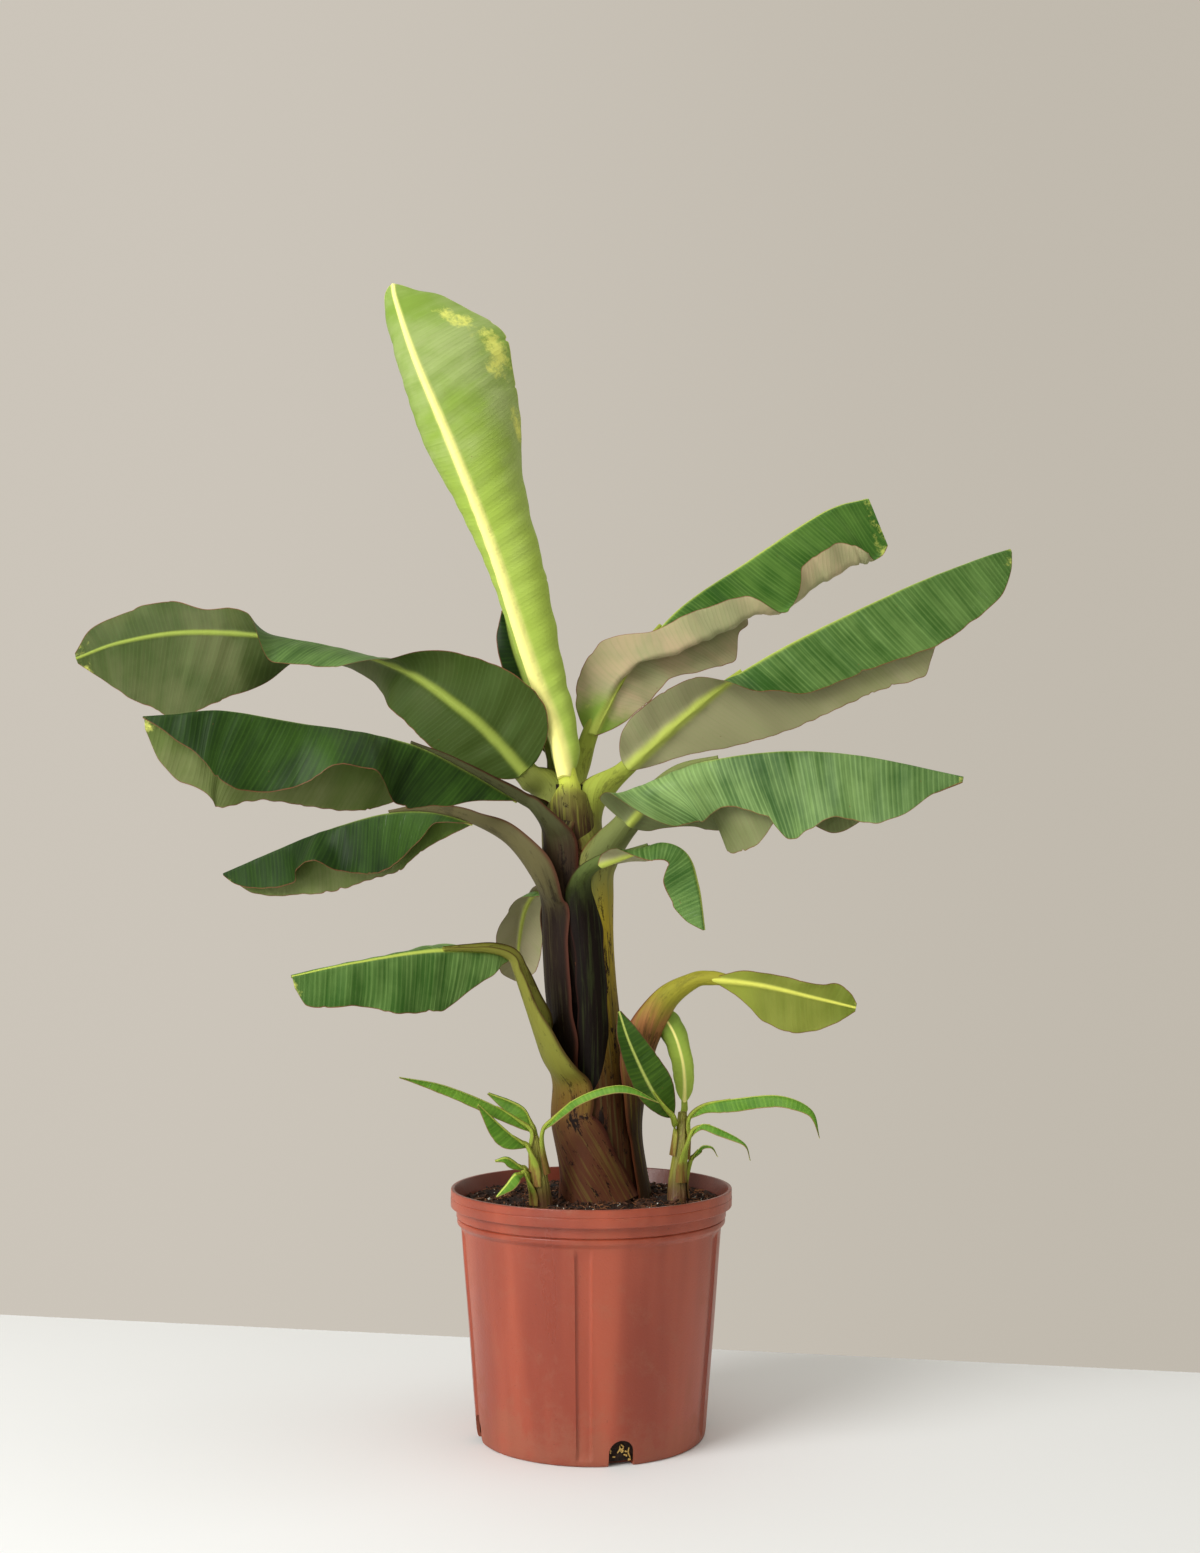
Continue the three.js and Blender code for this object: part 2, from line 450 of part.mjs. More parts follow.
// One column of a table of rows, read at x along its first column by a monotone cubic.
function column(rows, index, x) {
  const last = rows.length - 1;
  const step = (i) => rows[i + 1][0] - rows[i][0];
  const slope = (i) => (rows[i + 1][index] - rows[i][index]) / step(i);
  const tangent = (i) => {
    if (i === 0) return slope(0);
    if (i === last) return slope(last - 1);
    const before = slope(i - 1);
    const after = slope(i);
    if (before * after <= 0) return 0;
    const a = 2 * step(i) + step(i - 1);
    const b = step(i) + 2 * step(i - 1);
    return (a + b) / (a / before + b / after);
  };
  let k = 0;
  while (k < last - 1 && x > rows[k + 1][0]) k += 1;
  const h = step(k);
  const t = clamp((x - rows[k][0]) / h, 0, 1);
  return (
    (1 + 2 * t) * (1 - t) ** 2 * rows[k][index] +
    t * (1 - t) ** 2 * h * tangent(k) +
    t * t * (3 - 2 * t) * rows[k + 1][index] +
    t * t * (t - 1) * h * tangent(k + 1)
  );
}

function curveThrough(points) {
  const curve = new THREE.CatmullRomCurve3(points, false, "catmullrom", 0.5);
  curve.arcLengthDivisions = 400;
  return curve;
}

// The unit part of `vector` that is square to `tangent`.
function squareTo(vector, tangent) {
  return vector.clone().addScaledVector(tangent, -vector.dot(tangent)).normalize();
}

// ---------------------------------------------------------------- meshes and solids
// A closed surface from rings of equal length: `rings` of points, with a fan or strip at each end.
function skin(rings, capOf) {
  const around = rings[0].length;
  const positions = rings.flat().flatMap((p) => [p.x, p.y, p.z]);
  const index = [];
  for (let i = 0; i < rings.length - 1; i += 1)
    for (let j = 0; j < around; j += 1) {
      const a = i * around + j;
      const b = i * around + ((j + 1) % around);
      index.push(a, b, b + around, a, b + around, a + around);
    }
  const tail = (rings.length - 1) * around;
  for (const [a, b, c] of capOf(around)) {
    index.push(c, b, a);
    index.push(tail + a, tail + b, tail + c);
  }
  const geometry = new THREE.BufferGeometry();
  geometry.setAttribute("position", new THREE.Float32BufferAttribute(positions, 3));
  geometry.setIndex(index);
  return geometry;
}

// A ring that runs out along one face and back along the other is capped by a strip between them.
function stripCap(around) {
  const faces = [];
  const half = around / 2;
  for (let j = 0; j < half - 1; j += 1) {
    const back = around - 1 - j;
    faces.push([j, j + 1, back - 1], [j, back - 1, back]);
  }
  return faces;
}

function fanCap(around) {
  const faces = [];
  for (let j = 1; j < around - 1; j += 1) faces.push([0, j, j + 1]);
  return faces;
}

function signedVolume(geometry) {
  const p = geometry.attributes.position;
  const index = geometry.index;
  const [a, b, c] = [new THREE.Vector3(), new THREE.Vector3(), new THREE.Vector3()];
  let volume = 0;
  for (let i = 0; i < index.count; i += 3) {
    a.fromBufferAttribute(p, index.getX(i));
    b.fromBufferAttribute(p, index.getX(i + 1));
    c.fromBufferAttribute(p, index.getX(i + 2));
    volume += a.dot(b.cross(c)) / 6;
  }
  return volume;
}

function solidFrom(geometry) {
  const bare = geometry.clone();
  bare.deleteAttribute("normal");
  bare.deleteAttribute("uv");
  const merged = mergeVertices(bare, 1e-4);
  const triVerts = new Uint32Array(merged.index.array);
  if (signedVolume(merged) < 0)
    for (let i = 0; i < triVerts.length; i += 3)
      [triVerts[i + 1], triVerts[i + 2]] = [triVerts[i + 2], triVerts[i + 1]];
  const vertProperties = new Float32Array(merged.attributes.position.array);
  return new wasm.Manifold(new wasm.Mesh({ numProp: 3, vertProperties, triVerts }));
}

function meshFrom(solid, name, look) {
  const { vertProperties, triVerts, numProp, numVert } = solid.getMesh();
  const positions = new Float32Array(numVert * 3);
  for (let i = 0; i < numVert; i += 1)
    positions.set(vertProperties.subarray(i * numProp, i * numProp + 3), i * 3);
  const geometry = new THREE.BufferGeometry();
  geometry.setAttribute("position", new THREE.BufferAttribute(positions, 3));
  geometry.setIndex(new THREE.BufferAttribute(new Uint32Array(triVerts), 1));
  geometry.computeVertexNormals();
  const mesh = new THREE.Mesh(geometry, new THREE.MeshStandardMaterial(look));
  mesh.name = name;
  return mesh;
}

function largestBody(solid) {
  const bodies = solid.decompose();
  return bodies.reduce((best, body) => (body.volume() > best.volume() ? body : best));
}

// ---------------------------------------------------------------- pot and soil
// Outer radius of the wall under the bands, at a height above the ground.
function wallRadius(z) {
  const top = POT_TOP_RADIUS - LIP_STEP - BAND_STEP - SHOULDER;
  const wallTop = POT_HEIGHT - LIP_HEIGHT - NECK_HEIGHT - BAND_HEIGHT;
  return POT_BASE_RADIUS + ((top - POT_BASE_RADIUS) * z) / wallTop;
}

function lathe(profile, sides) {
  const points = profile.map(([r, z]) => new THREE.Vector2(r, z));
  return new THREE.LatheGeometry(points, sides).rotateX(Math.PI / 2);
}

function potShell() {
  const neck = POT_TOP_RADIUS - LIP_STEP;
  const lipFoot = POT_HEIGHT - LIP_HEIGHT;
  const bandTop = lipFoot - NECK_HEIGHT;
  const bandFoot = bandTop - BAND_HEIGHT;
  const profile = [
    [0, 0],
    [POT_BASE_RADIUS - BASE_ROUND, 0],
    [POT_BASE_RADIUS, BASE_ROUND],
    [wallRadius(bandFoot), bandFoot],
    [neck - BAND_STEP, bandFoot + SHOULDER],
    [neck - BAND_STEP, bandTop],
    [neck, bandTop],
    [neck, lipFoot],
    [POT_TOP_RADIUS, lipFoot],
    [POT_TOP_RADIUS, POT_HEIGHT],
    [neck - POT_WALL, POT_HEIGHT],
    [neck - POT_WALL, bandTop],
    [wallRadius(bandFoot) - POT_WALL, bandFoot],
    [POT_BASE_RADIUS - POT_WALL, POT_FLOOR],
    [0, POT_FLOOR],
  ];
  return solidFrom(lathe(profile, POT_SIDES));
}

// A shallow channel down the wall, as a leaning box pressed in from outside.
function fluteCutter(azimuth) {
  const top = POT_HEIGHT - LIP_HEIGHT - NECK_HEIGHT - BAND_HEIGHT;
  const foot = DRAIN_HEIGHT * 0.25;
  const depth = 8;
  const length = Math.hypot(top - foot, wallRadius(top) - wallRadius(foot));
  const box = new THREE.BoxGeometry(depth, FLUTE_WIDTH, length);
  const lean = Math.atan2(wallRadius(top) - wallRadius(foot), top - foot);
  const middle = (top + foot) / 2;
  box.translate(depth / 2 - FLUTE_DEPTH, 0, 0).rotateY(lean);
  box.translate(wallRadius(middle), 0, middle);
  return solidFrom(box.rotateZ(THREE.MathUtils.degToRad(azimuth)));
}

// A round-topped notch through the wall's foot and the edge of the floor.
function drainCutter(azimuth) {
  const radius = DRAIN_WIDTH / 2;
  const shape = new THREE.Shape();
  shape.moveTo(-radius, -POT_FLOOR);
  shape.lineTo(radius, -POT_FLOOR);
  shape.lineTo(radius, DRAIN_HEIGHT - radius);
  shape.absarc(0, DRAIN_HEIGHT - radius, radius, 0, Math.PI, false);
  const depth = POT_WALL + BASE_ROUND + 6;
  const prism = new THREE.ExtrudeGeometry(shape, { depth: depth + 10, curveSegments: 8, bevelEnabled: false });
  prism.rotateX(Math.PI / 2).rotateZ(Math.PI / 2).translate(POT_BASE_RADIUS - depth, 0, 0);
  return solidFrom(prism.rotateZ(THREE.MathUtils.degToRad(azimuth)));
}

function pot() {
  let shell = potShell();
  for (let i = 0; i < FLUTES; i += 1)
    shell = shell.subtract(fluteCutter(FLUTE_AZIMUTH + (360 / FLUTES) * i));
  for (let i = 0; i < DRAINS; i += 1)
    shell = shell.subtract(drainCutter(DRAIN_AZIMUTH + (360 / DRAINS) * i));
  return shell;
}

function soil() {
  const bandTop = POT_HEIGHT - LIP_HEIGHT - NECK_HEIGHT;
  const bandFoot = bandTop - BAND_HEIGHT;
  const inset = POT_WALL + GAP;
  // The rounds have flat sides, so the soil keeps clear of the pot's by the sagitta of one side.
  const sagitta = POT_TOP_RADIUS * (1 - Math.cos(Math.PI / POT_SIDES));
  const reach = (radius) => radius - inset - sagitta;
  const edge = POT_HEIGHT - SOIL_DROP;
  const profile = [
    [0, POT_FLOOR + GAP],
    [reach(POT_BASE_RADIUS), POT_FLOOR + GAP],
    [reach(wallRadius(bandFoot)), bandFoot],
    [reach(POT_TOP_RADIUS - LIP_STEP), bandTop],
    [reach(POT_TOP_RADIUS - LIP_STEP), edge],
    [POT_TOP_RADIUS * 0.75, edge + SOIL_MOUND * 0.6],
    [POT_TOP_RADIUS * 0.4, SOIL_LEVEL],
    [0, SOIL_LEVEL],
  ];
  return solidFrom(lathe(profile, SOIL_SIDES));
}

// ---------------------------------------------------------------- stems
function stemAt(rows, z) {
  return {
    centre: new THREE.Vector3(column(rows, 1, z), column(rows, 2, z), z),
    radius: column(rows, 3, z),
  };
}

function stem(rows, steps, sides, grow) {
  const bottom = rows[0][0];
  const top = rows[rows.length - 1][0];
  const rings = [];
  for (let i = 0; i <= steps; i += 1) {
    const share = i / steps;
    const { centre, radius } = stemAt(rows, bottom + (top - bottom) * share);
    if (i === 0) centre.z -= grow;
    if (i === steps) centre.z += grow;
    const ring = [];
    for (let j = 0; j < sides; j += 1) {
      const angle = (2 * Math.PI * j) / sides;
      const reach = radius + grow;
      ring.push(new THREE.Vector3(Math.cos(angle), Math.sin(angle), 0).multiplyScalar(reach).add(centre));
    }
    rings.push(ring);
  }
  return solidFrom(skin(rings, fanCap));
}

// ---------------------------------------------------------------- leaves
function vectors(points) {
  return points.map(([x, y, z]) => new THREE.Vector3(x, y, z));
}

// Unit directions across the rib at a tangent: towards the front, and up.
function ribFrame(leaf, tangent) {
  const front = squareTo(new THREE.Vector3(...(leaf.front ?? [0, -1, 0])), tangent);
  const up = new THREE.Vector3().crossVectors(tangent, front).multiplyScalar(leaf.side);
  return { front, up };
}

function across(frame, degrees) {
  const angle = THREE.MathUtils.degToRad(degrees);
  return new THREE.Vector3()
    .addScaledVector(frame.front, Math.cos(angle))
    .addScaledVector(frame.up, Math.sin(angle));
}

// The direction that the upper face of the blade looks in at the rib, in degrees.
function faceAngle(leaf, share) {
  return (column(leaf.near, 2, share) + column(leaf.far, 2, share)) / 2;
}

// Points across one half blade from the rib to the margin: the direction starts square to the
// face, turns to the row's lean within the crease, then by the row's turn on the way out.
function halfSection(leaf, rows, sign, share, frame, origin, cells, grow) {
  const width = Math.max(column(rows, 1, share), MARGIN_TIP) + grow;
  const lean = column(rows, 2, share);
  const turn = column(rows, 3, share);
  const fold = column(rows, 4, share);
  const soft = leaf.soft < 0.5 ? Math.min(leaf.soft, Math.max(fold, 0.08)) : 0.5;
  const flat = faceAngle(leaf, share) + sign * 90;
  const steps = cells * 6;
  const points = [origin.clone()];
  const at = origin.clone();
  for (let i = 0; i < steps; i += 1) {
    const v = (i + 0.5) / steps;
    const opened = flat + (lean - flat) * smooth((v * width) / CREASE);
    const turned = turn * smooth((v - fold + soft) / (2 * soft));
    at.addScaledVector(across(frame, opened + turned), width / steps);
    if ((i + 1) % 6 === 0) points.push(at.clone());
  }
  return points;
}

function blade(leaf, grow) {
  const curve = curveThrough(vectors(leaf.rib));
  const [along, cells] = leaf.cells;
  const grid = [];
  for (let i = 0; i <= along; i += 1) {
    const share = i / along;
    const tangent = curve.getTangentAt(share);
    const origin = curve.getPointAt(share);
    if (i === 0) origin.addScaledVector(tangent, -grow);
    if (i === along) origin.addScaledVector(tangent, grow);
    const frame = ribFrame(leaf, tangent);
    const near = halfSection(leaf, leaf.near, -1, share, frame, origin, cells, grow);
    const far = halfSection(leaf, leaf.far, 1, share, frame, origin, cells, grow);
    grid.push([...near.slice(1).reverse(), ...far]);
  }
  const half = BLADE_THICKNESS / 2 + grow;
  const rings = grid.map((row, i) => {
    const before = grid[Math.max(i - 1, 0)];
    const after = grid[Math.min(i + 1, along)];
    const upper = [];
    const lower = [];
    row.forEach((point, j) => {
      const lengthwise = after[j].clone().sub(before[j]);
      const crosswise = row[Math.min(j + 1, row.length - 1)].clone().sub(row[Math.max(j - 1, 0)]);
      const normal = lengthwise.cross(crosswise).normalize().multiplyScalar(half);
      upper.push(point.clone().add(normal));
      lower.push(point.clone().sub(normal));
    });
    return [...upper, ...lower.reverse()];
  });
  return solidFrom(skin(rings, stripCap));
}

// The stalk's line: up the stem in its sheath, free through the petiole, then part of the rib.
function stalkLine(leaf, rows, layer) {
  const [low, high] = leaf.hug;
  const outward = azimuthVector(leaf.azimuth);
  const hugged = [];
  const steps = Math.max(1, Math.round((high - low) / 45));
  for (let i = 0; i <= steps; i += 1) {
    const { centre, radius } = stemAt(rows, low + ((high - low) * i) / steps);
    hugged.push(centre.addScaledVector(outward, radius + HUG + sheathOf(leaf) / 2 + layer));
  }
  return [...hugged, ...vectors(leaf.petiole)];
}

function sheathOf(leaf) {
  return leaf.stem === "pseudostem" ? SHEATH_THICKNESS : SUCKER_SHEATH;
}

function azimuthVector(degrees) {
  const angle = THREE.MathUtils.degToRad(degrees);
  return new THREE.Vector3(Math.cos(angle), Math.sin(angle), 0);
}

// A channelled stalk: a crescent section that wraps the stem at the sheath, closes to a narrow
// gutter in the petiole, and thins along the first part of the rib.
function stalk(leaf, rows, grow) {
  const sheath = sheathOf(leaf);
  const line = stalkLine(leaf, rows, leaf.layer * (sheath + HUG));
  const free = line.length;
  const ribCurve = curveThrough(vectors(leaf.rib));
  for (const share of leaf.ribShares) line.push(ribCurve.getPointAt(share));
  const curve = curveThrough(line);
  const lengths = curve.getLengths(400);
  const total = lengths[400];
  const lengthTo = (i) => lengths[Math.round((400 * i) / (line.length - 1))];
  const hugEnd = lengthTo(free - leaf.petiole.length - 1) / total;
  const ribStart = lengthTo(free) / total;
  const outward = azimuthVector(leaf.azimuth);
  const stemRadius = stemAt(rows, leaf.hug[0]).radius + leaf.layer * sheath;
  const rings = [];
  for (let i = 0; i <= leaf.stalkSteps; i += 1) {
    const share = i / leaf.stalkSteps;
    const tangent = curve.getTangentAt(share);
    const point = curve.getPointAt(share);
    if (i === 0) point.addScaledVector(tangent, -grow);
    if (i === leaf.stalkSteps) point.addScaledVector(tangent, grow);
    const freed = smooth((share - hugEnd * 0.8) / Math.max(ribStart - hugEnd * 0.8, 0.02));
    const ribbed = clamp((share - ribStart) / (1 - ribStart), 0, 1);
    const bladeFrame = ribFrame(leaf, tangent);
    const back = across(bladeFrame, faceAngle(leaf, 0) + 180);
    const outside = squareTo(outward.clone().lerp(back, freed), tangent);
    const sideways = new THREE.Vector3().crossVectors(tangent, outside);
    const petioleRadius = leaf.petioleRadius + (RIB_TIP_RADIUS - leaf.petioleRadius) * ribbed;
    const radius = stemRadius + (petioleRadius - stemRadius) * Math.sqrt(freed);
    const wrap = THREE.MathUtils.degToRad(leaf.wrap + (100 - leaf.wrap) * freed);
    const thickness = sheath + (PETIOLE_THICKNESS - sheath) * freed;
    const deep = Math.min(thickness, radius * 1.2);
    rings.push(crescent(point, outside, sideways, radius, wrap, deep, grow, leaf.stalkSides));
  }
  return solidFrom(skin(rings, stripCap));
}

// A crescent about `point`, whose outer face looks along `outside`: out along one face, back
// along the other, thinning towards its two edges.
function crescent(point, outside, sideways, radius, wrap, deep, grow, sides) {
  const outer = [];
  const inner = [];
  const spread = wrap + grow / radius;
  for (let j = 0; j <= sides; j += 1) {
    const angle = spread * ((2 * j) / sides - 1);
    const thin = 1 - 0.55 * Math.abs(angle / spread) ** 2;
    const at = (reach) =>
      point
        .clone()
        .addScaledVector(outside, reach * Math.cos(angle) - radius)
        .addScaledVector(sideways, reach * Math.sin(angle));
    outer.push(at(radius + (deep * thin) / 2 + grow));
    inner.push(at(radius - (deep * thin) / 2 - grow));
  }
  return [...outer, ...inner.reverse()];
}

function leafSolid(leaf, rows, grow) {
  return blade(leaf, grow).add(stalk(leaf, rows, grow));
}

// ---------------------------------------------------------------- assembly
const STEMS = { pseudostem: STEM, left_sucker_stem: LEFT_SUCKER, right_sucker_stem: RIGHT_SUCKER };
const STEM_SIDES = { pseudostem: 16, left_sucker_stem: 8, right_sucker_stem: 8 };
const STEM_STEPS = { pseudostem: 10, left_sucker_stem: 5, right_sucker_stem: 6 };

// Growing pieces are laid in turn, and each is cut back by the clearance from those before it.
function grow() {
  const laid = [];
  const place = (name, look, build) => {
    let solid = build(0);
    for (const piece of laid) solid = solid.subtract(piece.grown);
    laid.push({ name, look, solid: largestBody(solid), grown: build(GAP) });
  };
  for (const [name, rows] of Object.entries(STEMS))
    place(name, COLOURS.stem, (extra) => stem(rows, STEM_STEPS[name], STEM_SIDES[name], extra));
  for (const leaf of LEAVES)
    place(leaf.name, COLOURS[leaf.look], (extra) => leafSolid(leaf, STEMS[leaf.stem], extra));
  return laid;
}

const plant = grow();
const ground = [0, 0, SOIL_LEVEL];
let bed = soil();
for (const piece of plant) bed = bed.subtract(piece.grown.translate(ground));

const root = new THREE.Group();
root.add(meshFrom(pot(), "nursery_pot", COLOURS.pot));
root.add(meshFrom(largestBody(bed), "potting_soil", COLOURS.soil));
const growth = new THREE.Group();
growth.position.set(...ground);
for (const piece of plant) growth.add(meshFrom(piece.solid, piece.name, piece.look));
root.add(growth);

export default root;
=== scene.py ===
"""A potted banana plant: a fluted nursery pot, its soil and bark, a pseudostem with a dozen leaves,
and two young suckers at its foot.

The leaf and stem tables are in millimetres above the soil, as in the CAD source. Everything else is
in metres in the CAD frame: origin at the centre of the pot's base, +Z up, front towards -Y.
"""

import math

import bpy
import numpy as np
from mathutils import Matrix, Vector


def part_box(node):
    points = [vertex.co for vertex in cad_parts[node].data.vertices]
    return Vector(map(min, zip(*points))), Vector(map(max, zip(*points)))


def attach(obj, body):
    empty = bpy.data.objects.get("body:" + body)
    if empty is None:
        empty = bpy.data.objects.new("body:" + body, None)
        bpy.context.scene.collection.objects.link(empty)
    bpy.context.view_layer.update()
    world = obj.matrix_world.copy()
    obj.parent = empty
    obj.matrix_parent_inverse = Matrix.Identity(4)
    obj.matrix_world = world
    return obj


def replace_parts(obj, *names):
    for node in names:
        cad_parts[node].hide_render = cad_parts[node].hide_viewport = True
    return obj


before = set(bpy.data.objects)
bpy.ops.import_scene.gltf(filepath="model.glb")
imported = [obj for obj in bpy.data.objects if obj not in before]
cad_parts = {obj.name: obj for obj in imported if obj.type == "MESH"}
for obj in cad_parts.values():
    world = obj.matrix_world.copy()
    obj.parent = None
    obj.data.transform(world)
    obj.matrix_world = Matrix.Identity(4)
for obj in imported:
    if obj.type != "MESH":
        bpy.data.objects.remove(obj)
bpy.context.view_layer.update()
MM = 0.001

# ------------------------------------------------------------------ sizes read from the frame
POT_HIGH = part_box("nursery_pot")[1]
POT_HEIGHT = POT_HIGH.z
POT_RADIUS = POT_HIGH.x
SOIL_EDGE = POT_HEIGHT - 13 * MM  # the soil's height at the wall
SOIL_LEVEL = SOIL_EDGE + 5 * MM  # and at the stems

# ------------------------------------------------------------------ the pot's own sizes
BASE_RADIUS = 112 * MM
WALL = 3 * MM
LIP_HEIGHT = 17 * MM
LIP_STEP = 6 * MM
NECK_HEIGHT = 11 * MM
BAND_STEP = 0.8 * MM
BAND_HEIGHT = 9 * MM
SHOULDER = 4 * MM
FLUTES = 5
FLUTE_WIDTH = 14 * MM
FLUTE_DEPTH = 2.3 * MM
FLUTE_AZIMUTH = math.radians(-93)
DRAINS = 4
DRAIN_WIDTH = 24 * MM
DRAIN_HEIGHT = 24 * MM
DRAIN_AZIMUTH = math.radians(-75.4)
NECK = POT_RADIUS - LIP_STEP
LIP_FOOT = POT_HEIGHT - LIP_HEIGHT
BAND_TOP = LIP_FOOT - NECK_HEIGHT
BAND_FOOT = BAND_TOP - BAND_HEIGHT
SOIL_CLEAR = 0.8 * MM  # between the soil and the wall

# ------------------------------------------------------------------ the plant's own sizes
CREASE = 5  # mm over which each half of a blade turns away from the midrib
SHEATH = 5  # mm, a sheath's thickness on the pseudostem
SUCKER_SHEATH = 2  # mm, the same on a sucker's stem
HUG = 1.4  # mm between a stem and its sheath
PETIOLE = 5  # mm, a free stalk's thickness
VEIN_SLANT = 0.24  # how far a side vein runs forward for each unit out from the midrib

# Stem rows: height, axis x, axis y, radius.
STEMS = {
    "pseudostem": [
        (-70, 9, 0, 14), (-45, 9, 0, 34), (-12, 9, 0, 40), (30, 7, 0, 35), (110, 2, 0, 30),
        (200, -7, 0, 27), (300, -14, 0, 26), (360, -19, 0, 24), (408, -23, 0, 17),
    ],
    "left_sucker_stem": [
        (-30, -46, -58, 6), (-8, -46, -58, 10), (14, -48, -60, 9), (40, -50, -62, 6.5),
        (66, -54, -65, 3.5),
    ],
    "right_sucker_stem": [
        (-30, 84, -22, 6), (-8, 84, -22, 10), (14, 84, -22, 8.5), (50, 88, -23, 7),
        (84, 90, -25, 4),
    ],
}


def filled(rows):
    """The rows of half a blade, with turn 0 and fold 0.5 where they aren't given."""
    return [(*row, *(0, 0.5)[len(row) - 3 :]) for row in rows]


def leaf_row(azimuth, hug, rib, near, far, **others):
    """A leaf grows from its stem at the azimuth, hugs it from hug[0] to hug[1] in a sheath, runs
    free through the petiole's points, and carries its blade on the rib's. `near` and `far` are the
    blade's halves: rows of share of the rib's length, width, lean at the rib, turn out to the
    margin, and fold, where across the half the turn lies. Angles are degrees about the rib, 0
    towards the front and 90 up. `side` is 1 for a leaf that runs to -X and -1 for one that runs to
    +X, `layer` counts the sheaths beneath its own, and `soft` is the turn's half width."""
    usual = dict(stem="pseudostem", side=1, layer=0, petiole=[], petiole_radius=8, soft=0.5)
    usual |= dict(front=(0, -1, 0), azimuth=azimuth, hug=hug, rib=rib)
    return usual | dict(near=filled(near), far=filled(far)) | others


